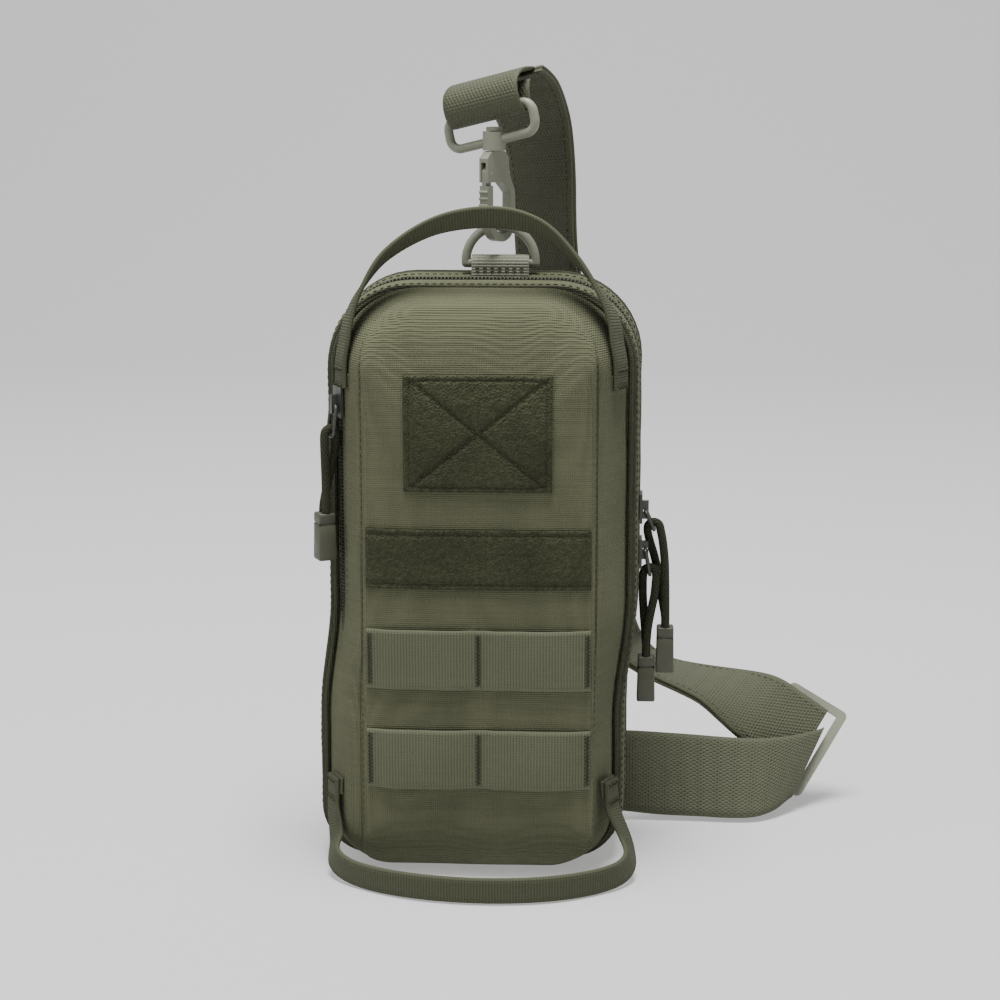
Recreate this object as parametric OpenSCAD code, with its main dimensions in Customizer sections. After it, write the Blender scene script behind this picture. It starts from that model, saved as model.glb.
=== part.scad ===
// Sling bag, standing on its base. X is to the right, Y to the back, Z up, in millimetres.
// The origin is the middle of the base.

/* [Body] */
// Width of the main compartment
bag_w = 134; // [126:1:140]
// Height of the main compartment
bag_h = 254; // [248:1:260]
// Radius of the top corners
top_r = 36; // [30:1:40]
// Radius of the bottom corners
base_r = 24; // [18:1:28]
// Wall of the gussets
wall = 2; // [1.5:0.1:2.5]
// Plane of the main zip, measured from the origin
zip_y = 7.8; // [7:0.1:9]
// Back edge of the rear gusset
rear_y = 30; // [28:1:32]
// Front edge of the front gusset
front_y = -14; // [-16:1:-12]
// Thickness of the padded back
back_t = 8; // [6:0.5:10]

/* [Front pocket] */
// Width of the pocket where it meets the gusset
pocket_w = 119; // [115:1:122]
// Width of the pocket's front panel
panel_w = 97; // [92:1:102]
// Front edge of the pocket's gusset
pocket_y = -39; // [-42:1:-36]
// Thickness of the front panel
panel_t = 4; // [3:0.5:5]

/* [Webbing] */
// Width of the shoulder strap
strap_w = 38; // [36:1:40]
// Thickness of one layer of the strap
strap_t = 1.5; // [1.2:0.1:1.8]
// Height of a webbing row on the front
molle_h = 26; // [25:0.5:27]
// Pitch of the webbing rows
molle_pitch = 43.5; // [40:0.5:46]
// Width of the handle webbing
handle_w = 11; // [9:0.5:13]
// Thickness of the handle webbing
handle_t = 2.4; // [2:0.1:3]

/* [Metal parts] */
// Wire of the D-ring
d_wire = 4; // [3.5:0.1:4.5]
// Inside width of the D-ring
d_inner = 26; // [25:0.5:28]
// Wire of the swivel ring
ring_wire = 4; // [3.6:0.1:4.4]
// Inside width of the swivel ring
ring_inner = 39.5; // [39:0.5:41]

/* [Zip pulls] */
// Diameter of the pull cords
cord_d = 3.8; // [3.4:0.1:4]
// Length of a cord end
cord_end_h = 20; // [18:1:22]
// Diameter of the wire of a pull ring
pull_wire = 1.6; // [1.4:0.1:1.8]

/* [Hidden] */
$fn = 48;
fabric = "#5b5e48";
webbing = "#666a50";
loop_pile = "#3f412e";
metal = "#75786a";
cord_green = "#3c3e2c";
rubber_green = "#5a5c46";
zip_green = "#44462f";

half_w = bag_w / 2;
coil_w = 1.6;
coil_gap = 1.6;
tape_w = 6;
rear_coil_y = zip_y + coil_gap / 2;
rear_tape_y = rear_coil_y + coil_w;
rear_gusset_y = rear_tape_y + tape_w;
front_coil_y = zip_y - coil_gap / 2 - coil_w;
front_tape_y = front_coil_y - tape_w;
tape_in = 0.6;
tape_t = 1;
panel_y = pocket_y - panel_t;
patch_w = 63;
patch_h = 50;
patch_z = 194;
trim_t = 1.6;
loop_h = 26;
loop_z = 141;
molle_z = [98, 98 - molle_pitch];
molle_w = 94;
molle_gap = 1.2;
molle_t = 1.5;
stitch_w = 4;
zip_foot = 16;

// ---------- outlines and plates ----------

// A rectangle with round corners, the top and bottom pairs of their own radius
module outline(hw, top, bottom, rt, rb) {
    polygon([
        [-hw, bottom + rb], [-hw + rb, bottom], [hw - rb, bottom], [hw, bottom + rb],
        [hw, top - rt], [hw - rt, top], [-hw + rt, top], [-hw, top - rt]
    ]);
    for (side = [-1, 1]) {
        translate([side * (hw - rt), top - rt]) circle(rt);
        translate([side * (hw - rb), bottom + rb]) circle(rb);
    }
}

// A solid plate of that outline between two depths
module plate(y0, y1, hw, top, bottom, rt, rb) {
    translate([0, y1, 0]) rotate([90, 0, 0]) linear_extrude(y1 - y0) outline(hw, top, bottom, rt, rb);
}

// A band round the main compartment's outline, set in from its outer face
module band(y0, y1, inset, thick) {
    translate([0, y1, 0]) rotate([90, 0, 0]) linear_extrude(y1 - y0) difference() {
        outline(half_w - inset, bag_h - inset, inset, top_r - inset, base_r - inset);
        outline(half_w - inset - thick, bag_h - inset - thick, inset + thick,
            top_r - inset - thick, base_r - inset - thick);
    }
}

// The main zip stops above the base, where the two halves are joined by fabric
module above_base() {
    difference() {
        children();
        translate([-bag_w, -50, -1]) cube([2 * bag_w, 100, zip_foot + 1]);
    }
}

// ---------- swept webbing and cord ----------

function unit(v) = v / norm(v);

// Point on a smooth curve through the list, at a whole and a fractional part
function spline(p, i, t) =
    let (a = p[max(i - 1, 0)], b = p[i], c = p[i + 1], d = p[min(i + 2, len(p) - 1)])
    0.5 * (2 * b + (c - a) * t + (2 * a - 5 * b + 4 * c - d) * t * t + (3 * b - a - 3 * c + d) * t * t * t);

function smooth(p, n) = [
    for (i = [0 : len(p) - 2]) for (k = [0 : n - 1]) spline(p, i, k / n),
    p[len(p) - 1]
];

function tangent(c, i) = unit(c[min(i + 1, len(c) - 1)] - c[max(i - 1, 0)]);

// Skin of a sweep whose rings all have the same number of points
module skin(rings) {
    n = len(rings[0]);
    last = (len(rings) - 1) * n;
    polyhedron(
        points = [for (r = rings) each r],
        faces = [
            [for (j = [n - 1 : -1 : 0]) j],
            [for (j = [0 : n - 1]) last + j],
            for (i = [0 : len(rings) - 2]) for (j = [0 : n - 1])
                [i * n + j, i * n + (j + 1) % n, (i + 1) * n + (j + 1) % n, (i + 1) * n + j]
        ],
        convexity = 8
    );
}

// Webbing along a route: each stop is [centre, direction of the width]
module ribbon(stops, width, thick, steps = 4) {
    centres = smooth([for (s = stops) s[0]], steps);
    widths = smooth([for (s = stops) s[1]], steps);
    skin([for (i = [0 : len(centres) - 1])
        let (t = tangent(centres, i), n = unit(cross(t, widths[i])), w = unit(cross(n, t)))
        [for (k = [[-1, -1], [1, -1], [1, 1], [-1, 1]])
            centres[i] + w * width / 2 * k[0] + n * thick / 2 * k[1]]
    ]);
}

// Round cord along a route; the two ring axes stay square to a fixed direction
module cord(route, diameter, across, steps = 3, sides = 8) {
    c = smooth(route, steps);
    skin([for (i = [0 : len(c) - 1])
        let (t = tangent(c, i), u = unit(cross(t, across)), v = cross(t, u))
        [for (k = [0 : sides - 1]) c[i] + diameter / 2 * (cos(360 * k / sides) * u + sin(360 * k / sides) * v)]
    ]);
}

// ---------- rear half ----------

module back_panel() {
    color(fabric) plate(rear_y, rear_y + back_t, half_w - 3.2, bag_h - 3.2, 3.2, top_r - 3.2, base_r - 3.2);
}

module back_mesh() {
    y = rear_y + back_t;
    color(loop_pile) plate(y, y + 1.5, half_w - 10, bag_h - 12, 12, top_r - 8, base_r - 8);
}

module back_lining() {
    color(fabric) plate(rear_y - wall, rear_y, half_w - wall, bag_h - wall, wall, top_r - wall, base_r - wall);
}

module rear_binding() {
    color(webbing) band(rear_y, rear_y + 3, 0, 3);
}

// Gusset of the rear half, with the strip of fabric under the bag that joins the halves
module rear_gusset() {
    hinge_y = front_tape_y + 0.2;
    color(fabric) {
        band(rear_gusset_y, rear_y, 0, wall);
        difference() {
            band(hinge_y, rear_gusset_y + 0.5, 0, wall);
            translate([-bag_w, hinge_y - 1, zip_foot - 4]) cube([2 * bag_w, rear_y, bag_h]);
        }
    }
}

module rear_zip_tape() {
    color(zip_green) above_base() band(rear_tape_y, rear_gusset_y, tape_in, tape_t);
}

module rear_zip_coil() {
    color(zip_green) above_base() band(rear_coil_y, rear_tape_y, 0, 2.2);
}

// Flat slip pocket on the lining
module inner_pocket() {
    pocket_t = 2;
    color(loop_pile) translate([-50, rear_y - wall - pocket_t, 14]) cube([100, pocket_t, 110]);
}

d_x = 6;
d_y = 20;
d_z = 259;
d_straight = 1;
tab_w = 25;

// Folded webbing that holds the D-ring, sewn into the top of the gusset
module d_ring_tab() {
    run = d_wire / 2 + 0.3;
    leaf = 1.5;
    color(webbing) translate([d_x + tab_w / 2, d_y, d_z]) rotate([0, -90, 0]) linear_extrude(tab_w) {
        difference() {
            union() {
                circle(run + leaf);
                translate([bag_h - d_z, -run - leaf]) square([d_z - bag_h, 2 * (run + leaf)]);
            }
            circle(run);
            translate([bag_h - d_z + 1, -run]) square([d_z - bag_h - 1, 2 * run]);
        }
    }
}

// Webbing tab at the lower right corner that the strap is sewn into
module strap_anchor() {
    anchor_y = rear_y + back_t + 1.5;
    anchor_t = 1.4;
    color(webbing) translate([0, anchor_y + anchor_t, 0]) rotate([90, 0, 0]) linear_extrude(anchor_t)
        polygon([[22, 5], [50, 5], [50, 43], [22, 43], [14, 24]]);
}

// ---------- shoulder strap ----------

lower_route = [
    [[30, 42, 24], [0, 0, 1]], [[48, 42, 24], [0, 0, 1]], [[64, 43.8, 22.5], [0, 0.1, 1]],
    [[80, 47, 20.5], [0, 0.3, 0.95]], [[96, 49, 19.2], [0, 0.45, 0.9]], [[111, 49, 18.4], [0.05, 0.5, 0.86]],
    [[124, 51, 18], [0.1, 0.55, 0.82]], [[136, 57, 18.5], [0.25, 0.55, 0.78]], [[145.5, 63.5, 20.5], [0.4, 0.5, 0.75]],
    [[148, 65.3, 21.3], [0.42, 0.5, 0.75]]
];
upper_route = [
    [[148.4, 70.9, 28.6], [0.51, 0.44, 0.74]], [[143.6, 71.7, 31.9], [0.51, 0.45, 0.73]],
    [[135.2, 73.1, 37.8], [0.5, 0.5, 0.7]], [[124.2, 75, 45.4], [0.49, 0.62, 0.58]],
    [[104, 78, 54.5], [0.38, 0.9, 0.17]], [[80, 78, 62], [0.28, 0.96, -0.03]],
    [[63, 74, 74], [0.45, 0.87, -0.1]], [[51, 66, 92], [0.75, 0.6, -0.15]],
    [[44, 59, 116], [0.95, 0.25, -0.12]], [[40, 56, 146], [1, 0, 0]], [[35, 56, 186], [0.96, -0.28, 0]],
    [[29, 56, 225], [0.84, -0.54, 0]], [[24.5, 56, 262], [0.73, -0.68, 0]],
    [[23, 55, 292], [0.75, -0.65, 0.06]], [[20, 49, 316], [0.8, -0.56, 0.14]],
    [[14, 38.5, 332], [0.85, -0.48, 0.2]], [[8, 29.5, 338], [0.86, -0.46, 0.22]]
];
// Back and up from the ring's top bar, in the plane square to the strap's width
fold_profile = [
    [12.7, 14.4], [3.6, 14], [-3.1, 10.3], [-5.2, 4.6], [-4.2, -0.8], [-2.4, -2.9],
    [0, -3.7], [2.5, -2.9], [3.9, 0], [4.8, 5.2], [7.2, 9.4]
];

// First stretch of the strap: one layer, on its edge on the ground
module strap_lower() {
    color(webbing) ribbon(lower_route, strap_w, strap_t);
}

// Doubled stretch, up behind the bag and forward over the hook
module strap_upper() {
    color(webbing) ribbon(upper_route, strap_w, 2 * strap_t);
}

// ---------- hook, ring and D-ring ----------

ring_hub = [3.4, 17.5, 311.5];
ring_across = unit([0.86, -0.46, 0.22]);
ring_up = unit(cross(ring_across, cross([0, 0, 1], ring_across)));
ring_back = cross(ring_up, ring_across);
ring_rise = 13;

// End of the strap, folded round the top bar of the swivel ring
module strap_hook_fold() {
    bar_at = ring_hub + ring_rise * ring_up;
    color(webbing) ribbon([
        for (p = fold_profile) [bar_at + p[0] * ring_back + p[1] * ring_up, ring_across]
    ], strap_w, strap_t);
}

// Places a shape drawn with X, Y and Z along three square directions
module placed(origin, x_dir, y_dir, z_dir) {
    multmatrix([
        [x_dir[0], y_dir[0], z_dir[0], origin[0]],
        [x_dir[1], y_dir[1], z_dir[1], origin[1]],
        [x_dir[2], y_dir[2], z_dir[2], origin[2]],
        [0, 0, 0, 1]
    ]) children();
}

// Round bar with ball ends between two points of the XZ plane
module bar(a, b, d) {
    along = b - a;
    translate([a[0], 0, a[1]]) {
        rotate([0, atan2(along[0], along[1]), 0]) cylinder(h = norm(along), d = d);
        sphere(d = d);
    }
    translate([b[0], 0, b[1]]) sphere(d = d);
}

// Bend of round wire in the XZ plane, starting at an angle from X
module bend(centre, r, start, d, sweep = 90) {
    translate([centre[0], 0, centre[1]]) rotate([90, 0, 0]) rotate([0, 0, start])
        rotate_extrude(angle = sweep) translate([r, 0]) circle(d = d);
}

module d_ring() {
    r = (d_inner + d_wire) / 2;
    color(metal) translate([d_x, d_y, d_z]) {
        bar([-r, 0], [r, 0], d_wire);
        bar([-r, 0], [-r, d_straight], d_wire);
        bar([r, 0], [r, d_straight], d_wire);
        bend([0, d_straight], r, 0, d_wire, 180);
    }
}

swivel_bore = 4;
swivel_h = 8;

// Oblong ring for the strap, with the swivel's barrel in the middle of its lower bar
module swivel_ring() {
    half = (ring_inner + ring_wire) / 2;
    r = 5;
    color(metal) difference() {
        union() {
            placed(ring_hub, ring_across, ring_back, ring_up) {
                bar([-half + r, 0], [half - r, 0], ring_wire);
                bar([-half + r, ring_rise], [half - r, ring_rise], ring_wire);
                bar([-half, r], [-half, ring_rise - r], ring_wire);
                bar([half, r], [half, ring_rise - r], ring_wire);
                bend([-half + r, r], r, 180, ring_wire);
                bend([half - r, r], r, 270, ring_wire);
                bend([half - r, ring_rise - r], r, 0, ring_wire);
                bend([-half + r, ring_rise - r], r, 90, ring_wire);
            }
            translate(ring_hub - [0, 0, swivel_h / 2]) cylinder(h = swivel_h, d = 10);
        }
        translate(ring_hub - [0, 0, swivel_h]) cylinder(h = 2 * swivel_h, d = swivel_bore);
    }
}

hook_turn = 55;
hook_t = 4.5;
hook_bar = 3.4;
hook_mouth_r = 5.5;
hook_x = 3;
hook_z = 277.2;
hook_head_z = 293;
hook_head_w = 15;
gate_pivot_x = -4.5;
gate_pivot_z = 298;
gate_slot = 2.5;
pin_d = 1.6;

module in_hook_plane() {
    translate([ring_hub[0], ring_hub[1], 0]) rotate([0, 0, hook_turn]) children();
}

// A shape drawn in X and Z, thickened evenly about the plane of the hook
module hook_plate(t) {
    rotate([90, 0, 0]) translate([0, 0, -t / 2]) linear_extrude(t) children();
}

// Hook: swivel stem, head, spine and the round mouth that holds the D-ring
module hook_body() {
    top_z = ring_hub[2] - swivel_h / 2 - 0.3;
    outer_r = hook_mouth_r + hook_bar;
    right = hook_x + outer_r;
    head = hook_head_w / 2;
    stem_top = top_z + swivel_h + 0.6;
    color(metal) in_hook_plane() difference() {
        union() {
            hook_plate(hook_t) {
                difference() {
                    translate([hook_x, hook_z]) circle(outer_r);
                    translate([hook_x, hook_z]) circle(hook_mouth_r);
                    translate([hook_x - outer_r, hook_z + 2]) square([2 * outer_r, outer_r]);
                    translate([hook_x - 2, hook_z]) square([hook_mouth_r + 2, 2]);
                }
                polygon([
                    [right - hook_bar, hook_z + 1.9], [right, hook_z + 1.9], [right, hook_head_z - 4],
                    [head, hook_head_z + 5], [head, top_z - 3], [head - 3, top_z], [3 - head, top_z],
                    [-head, top_z - 3], [-head, hook_head_z + 1], [3, hook_head_z + 1],
                    [right - hook_bar, hook_head_z - 4]
                ]);
            }
            translate([0, 0, top_z - 1]) cylinder(h = stem_top - top_z + 1, d = swivel_bore - 0.16);
            translate([0, 0, stem_top]) cylinder(h = 1.6, d = 7);
        }
        translate([-head - 1, -gate_slot / 2, hook_head_z]) cube([head + 1, gate_slot, 9.5]);
        translate([gate_pivot_x, 5, gate_pivot_z]) rotate([90, 0, 0]) cylinder(h = 10, d = pin_d);
    }
}

// Ribbed thumb gate that closes the mouth
module hook_gate() {
    foot_z = hook_z + 2.3;
    thin = gate_slot - 0.4;
    color(metal) in_hook_plane() difference() {
        union() {
            hook_plate(thin) {
                translate([gate_pivot_x, gate_pivot_z]) circle(2.7);
                translate([gate_pivot_x - 2.7, hook_head_z - 2]) square([3.6, gate_pivot_z - hook_head_z + 2]);
            }
            hook_plate(hook_t) {
                translate([gate_pivot_x - 2.7, foot_z]) square([3.6, hook_head_z - foot_z - 0.4]);
                for (k = [0 : 3]) translate([gate_pivot_x - 2.7, foot_z + 2 + 2.8 * k]) circle(0.7);
            }
        }
        translate([gate_pivot_x, 5, gate_pivot_z]) rotate([90, 0, 0]) cylinder(h = 10, d = pin_d + 0.1);
    }
}

module gate_pin() {
    color(metal) in_hook_plane() translate([gate_pivot_x, hook_t / 2, gate_pivot_z])
        rotate([90, 0, 0]) cylinder(h = hook_t, d = pin_d);
}

// Leaf spring behind the gate, inside the head
module gate_spring() {
    color(metal) in_hook_plane() translate([-0.5, -1, hook_head_z + 1.2]) cube([0.45, 2, 7]);
}

buckle_origin = [156.2, 72.5, 22];
buckle_long = unit([0.51, 0.44, 0.74]);
buckle_face = unit(cross(buckle_long, [-0.85, 0.2, 0.5]));
buckle_short = cross(buckle_face, buckle_long);
buckle_l = 47;
buckle_w = 31;
buckle_t = 2.4;
buckle_slot_l = 39.5;
buckle_slot_w = 9;

// Three-bar slider that sets the strap's length
module strap_slider() {
    rail = (buckle_w - 2 * buckle_slot_w) / 3;
    corner = 3;
    color(metal) placed(buckle_origin, buckle_long, buckle_short, buckle_face)
        translate([0, 0, -buckle_t / 2]) linear_extrude(buckle_t) difference() {
            union() {
                translate([-buckle_l / 2 + corner, 0]) square([buckle_l - 2 * corner, buckle_w]);
                translate([-buckle_l / 2, corner]) square([buckle_l, buckle_w - 2 * corner]);
                for (x = [-1, 1]) for (y = [corner, buckle_w - corner])
                    translate([x * (buckle_l / 2 - corner), y]) circle(corner);
            }
            for (y = [rail, 2 * rail + buckle_slot_w])
                translate([-buckle_slot_l / 2, y]) square([buckle_slot_l, buckle_slot_w]);
        }
}

// ---------- front half ----------

module front_gusset() {
    color(fabric) band(front_y, front_tape_y, 0, wall);
}

module front_zip_tape() {
    color(zip_green) above_base() band(front_tape_y, front_coil_y, tape_in, tape_t);
}

module front_zip_coil() {
    color(zip_green) above_base() band(front_coil_y, front_coil_y + coil_w, 0, 2.2);
}

// Wall between the main compartment and the front pocket
module divider() {
    color(fabric) plate(front_y, front_y + wall, half_w - wall, bag_h - wall, wall, top_r - wall, base_r - wall);
}

binding_t = 2;
pocket_back_y = front_y - binding_t;
pocket_half = pocket_w / 2;
pocket_top = 250.5;
pocket_base = 1;
panel_half = panel_w / 2;
panel_top = 247;
panel_base = 3;

// Piped edge where the pocket is sewn onto the main gusset
module pocket_binding() {
    color(webbing) difference() {
        plate(pocket_back_y, front_y, half_w - 0.5, bag_h - 0.5, 0.5, top_r, base_r);
        plate(pocket_back_y - 1, front_y + 1, pocket_half - wall, pocket_top - wall, pocket_base + wall, 32, 20);
    }
}

// Block that narrows from the pocket's back edge to its front panel
module pocket_block(inset) {
    hull() {
        plate(pocket_back_y - 0.5, pocket_back_y, pocket_half - inset, pocket_top - inset,
            pocket_base + inset, 34 - inset, 22 - inset, $fn = 32);
        plate(pocket_y, pocket_y + 0.5, panel_half - inset, panel_top - inset,
            panel_base + inset, 26 - inset, 16 - inset, $fn = 32);
    }
}

module pocket_gusset() {
    color(fabric) difference() {
        pocket_block(0);
        pocket_block(wall);
        plate(pocket_back_y - 1, pocket_back_y + 1, pocket_half - wall, pocket_top - wall,
            pocket_base + wall, 32, 20);
        plate(pocket_y - 1, pocket_y + 1, panel_half - wall, panel_top - wall, panel_base + wall, 24, 14);
    }
}

module front_panel() {
    color(fabric) plate(panel_y, pocket_y, panel_half, panel_top, panel_base, 26, 16);
}

module patch_panel() {
    color(loop_pile) translate([-patch_w / 2, panel_y - trim_t, patch_z - patch_h / 2])
        cube([patch_w, trim_t, patch_h]);
}

module loop_strip() {
    color(loop_pile) translate([-molle_w / 2, panel_y - trim_t, loop_z - loop_h / 2]) cube([molle_w, trim_t, loop_h]);
}

// Row of webbing sewn down at both ends and in the middle
module molle_row(z) {
    face_y = panel_y - molle_gap - molle_t;
    translate([0, 0, z - molle_h / 2]) {
        translate([-molle_w / 2, face_y, 0]) cube([molle_w, molle_t, molle_h]);
        for (x = [-molle_w / 2, -stitch_w / 2, molle_w / 2 - stitch_w])
            translate([x, face_y, 0]) cube([stitch_w, panel_y - face_y, molle_h]);
    }
}

module molle_upper() {
    color(webbing) molle_row(molle_z[0]);
}

module molle_lower() {
    color(webbing) molle_row(molle_z[1]);
}

// Stitched tacks in the middle of each webbing row
module bar_tacks() {
    tack_t = 0.5;
    color(zip_green) for (z = molle_z)
        translate([-1.2, panel_y - molle_gap - molle_t - tack_t, z - molle_h / 2 + 1]) cube([2.4, tack_t, molle_h - 2]);
}

top_handle_route = [
    [[-57, -26.5, 229], [0.44, -0.9, 0]], [[-55, -25.5, 240], [0.35, -0.93, 0.1]],
    [[-50.5, -24, 251], [0.2, -0.95, 0.2]], [[-39.5, -22, 266], [0, -0.9, 0.4]],
    [[-19, -20, 278], [0, -0.7, 0.7]], [[5, -19, 281.5], [0, -0.55, 0.83]], [[25, -20, 277], [0, -0.7, 0.7]],
    [[40, -22, 264], [0, -0.9, 0.4]], [[50.5, -24, 249.5], [-0.2, -0.95, 0.2]],
    [[55.5, -25.5, 239], [-0.4, -0.9, 0.1]], [[57, -26.5, 229], [-0.44, -0.9, 0]]
];
bottom_handle_route = [
    [[-59.5, -28, 23], [0.5, -0.8, 0.2]], [[-62.5, -32, 15], [0.5, -0.6, 0.6]], [[-62, -42, 8.5], [0.3, -0.2, 0.93]],
    [[-51, -54, 6], [0, 0, 1]], [[-28, -66, 5.9], [0, 0, 1]], [[2, -71, 5.9], [0, 0, 1]],
    [[32, -67, 5.9], [0, 0, 1]], [[55, -54, 6], [0, 0, 1]], [[64, -42, 8.5], [-0.3, -0.2, 0.93]],
    [[63, -32, 15], [-0.5, -0.6, 0.6]], [[59.5, -28, 23], [-0.5, -0.8, 0.2]]
];
top_end_z = [211, 222];
bottom_end_z = [30, 41];

module top_handle() {
    color(webbing) ribbon(top_handle_route, handle_w, handle_t);
}

module bottom_handle() {
    color(webbing) ribbon(bottom_handle_route, handle_w, handle_t);
}

// The four sewn ends of the handles, each with its stitched tack
module handle_ends() {
    tack_h = 3;
    color(webbing) for (side = [-1, 1]) for (z = [top_end_z, bottom_end_z])
        placed([side * 57.3, -26.7, z[0]], [side * 0.902, -0.431, 0], [side * 0.431, 0.902, 0], [0, 0, 1])
            translate([-handle_t / 2, -handle_w / 2, 0]) {
                cube([handle_t, handle_w, z[1] - z[0]]);
                translate([0, 1, (z[1] - z[0] - tack_h) / 2]) cube([handle_t + 0.5, handle_w - 2, tack_h]);
            }
}

pocket_slope = [-0.894, -0.448, 0];
pocket_along = [0.448, -0.894, 0];
pocket_zip_at = [-57.65, -20.5, 0];
pocket_zip_z = [44, 209];
zip_face = 2.2;

module on_pocket_zip(z) {
    placed(pocket_zip_at + [0, 0, z] + zip_face * pocket_slope, pocket_slope, pocket_along, [0, 0, 1]) children();
}

module pocket_zip_tape() {
    color(zip_green) on_pocket_zip(pocket_zip_z[0])
        translate([0.1 - zip_face, -4.4, 0]) cube([0.8, 10.4, pocket_zip_z[1] - pocket_zip_z[0]]);
}

module pocket_zip_coil() {
    color(zip_green) on_pocket_zip(pocket_zip_z[0])
        translate([0.9 - zip_face, -2, 0]) cube([1.3, 4, pocket_zip_z[1] - pocket_zip_z[0]]);
}

// ---------- zip sliders and their pulls ----------

pull_pivot = [3, 0, -1.5];
pull_ring_half = 3.6;
upper_z = 154;
lower_z = 134;
pocket_slider_z = 204;
// Each pull: [length of its ring, lean of its ring, top of its cord end]
pocket_pull = [13, 7, [4.7, 0, -46]];
upper_pull = [9, 25, [9.2, 0, -52]];
lower_pull = [11.5, 11, [1, 0, -48.3]];
// Routes of the cords from the pivot: X away from the bag, Y across the zip, Z up
pocket_cord_route = [
    [4.7, 1.95, -45.7], [4.6, 1.9, -42], [4.5, 1.4, -34], [4.5, 0.9, -25], [4.5, 0.3, -17.5], [4.35, 0, -13],
    [3.7, 0, -10.8], [1.6, 0, -9.7], [-0.4, 0, -10.7], [-1.05, 0, -13], [-0.55, -0.3, -17.5], [0.8, -0.9, -25],
    [2.9, -1.4, -34], [4.4, -1.9, -42], [4.7, -1.95, -45.7]
];
upper_cord_route = [
    [9.2, -1.95, -51.7], [9.2, -1.95, -47], [9.1, -1.9, -38], [8.9, -1.8, -30], [8.6, -1.6, -22], [7.8, -1.2, -14.5],
    [6.8, -0.6, -9], [5.9, -0.1, -6.1], [3.7, 0.3, -5.1], [1.5, 0.8, -6.3], [1, 1.9, -9.2], [2, 3.4, -14],
    [4.4, 3.9, -22], [6.3, 3.5, -31], [7.8, 2.6, -40], [9.1, 1.95, -47.5], [9.2, 1.95, -51.7]
];
lower_cord_route = [
    [1, -1.95, -48], [1, -1.95, -44], [1.5, -1.95, -36], [2.8, -2, -28], [4.2, -1.9, -21], [4.8, -1.4, -15.5],
    [5, -0.4, -11.7], [4.3, 0, -9.2], [2.2, 0, -8.3], [0.1, 0, -9.2], [-0.65, 0.4, -11.7], [-0.8, 1.3, -15.5],
    [-0.7, 1.9, -22], [-0.2, 2, -30], [0.5, 1.95, -38], [1, 1.95, -44], [1, 1.95, -48]
];

module on_main_zip(z) {
    translate([half_w, zip_y, z]) children();
}

// Slider body with the eye that holds its pull ring
module zip_slider(with_inner) {
    plate_t = 1.2;
    half_l = 6.5;
    union() {
        translate([0.4, -5, -half_l]) cube([plate_t, 10, 2 * half_l]);
        difference() {
            translate([0.4 + plate_t, -1.3, -5]) cube([2.8, 2.6, 8]);
            translate([pull_pivot[0], 5, pull_pivot[2]]) rotate([90, 0, 0]) cylinder(h = 10, d = pull_wire + 0.6);
        }
        if (with_inner) {
            translate([-3.4, -0.4, -half_l + 1]) cube([4, 0.8, 2 * half_l - 2]);
            translate([-3.4 - plate_t, -4.5, -half_l]) cube([plate_t, 9, 2 * half_l]);
        }
    }
}

// Oblong ring through the slider's eye, hanging from the pivot and leaning out
module pull_ring(pull) {
    r = 2;
    h = pull_ring_half;
    l = pull[0];
    rotate([0, -pull[1], 0]) rotate([0, 0, 90]) {
        bar([-h + r, 0], [h - r, 0], pull_wire);
        bar([-h + r, -l], [h - r, -l], pull_wire);
        for (side = [-1, 1]) bar([side * h, -r], [side * h, r - l], pull_wire);
        bend([h - r, -r], r, 0, pull_wire);
        bend([-h + r, -r], r, 90, pull_wire);
        bend([-h + r, r - l], r, 180, pull_wire);
        bend([h - r, r - l], r, 270, pull_wire);
    }
}

// Moulded end that holds both tails of the cord, wider at its foot
module cord_end(pull) {
    translate(pull[2]) hull() {
        translate([-4, -4.2, -cord_end_h]) cube([8, 8.4, 2]);
        translate([-3.7, -3.9, -0.5]) cube([7.4, 7.8, 0.5]);
    }
}

module on_pocket_pull() {
    on_pocket_zip(pocket_slider_z) translate(pull_pivot) children();
}

module on_upper_pull() {
    on_main_zip(upper_z) translate(pull_pivot) children();
}

// The lower slider is the other way up, so its eye is above its middle
module on_lower_pull() {
    on_main_zip(lower_z) translate([pull_pivot[0], 0, -pull_pivot[2]]) children();
}

module pocket_slider() {
    color(metal) on_pocket_zip(pocket_slider_z) zip_slider(false);
}

module pocket_pull_ring() {
    color(metal) on_pocket_pull() pull_ring(pocket_pull);
}

module pocket_pull_cord() {
    color(cord_green) on_pocket_pull() cord(pocket_cord_route, cord_d, [0, 1, 0]);
}

module pocket_cord_end() {
    color(rubber_green) on_pocket_pull() cord_end(pocket_pull);
}

module upper_slider() {
    color(metal) on_main_zip(upper_z) zip_slider(true);
}

module upper_pull_ring() {
    color(metal) on_upper_pull() pull_ring(upper_pull);
}

module upper_pull_cord() {
    color(cord_green) on_upper_pull() cord(upper_cord_route, cord_d, [0, 1, 0]);
}

module upper_cord_end() {
    color(rubber_green) on_upper_pull() cord_end(upper_pull);
}

module lower_slider() {
    color(metal) on_main_zip(lower_z) mirror([0, 0, 1]) zip_slider(true);
}

module lower_pull_ring() {
    color(metal) on_lower_pull() pull_ring(lower_pull);
}

module lower_pull_cord() {
    color(cord_green) on_lower_pull() cord(lower_cord_route, cord_d, [0, 1, 0]);
}

module lower_cord_end() {
    color(rubber_green) on_lower_pull() cord_end(lower_pull);
}

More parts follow.
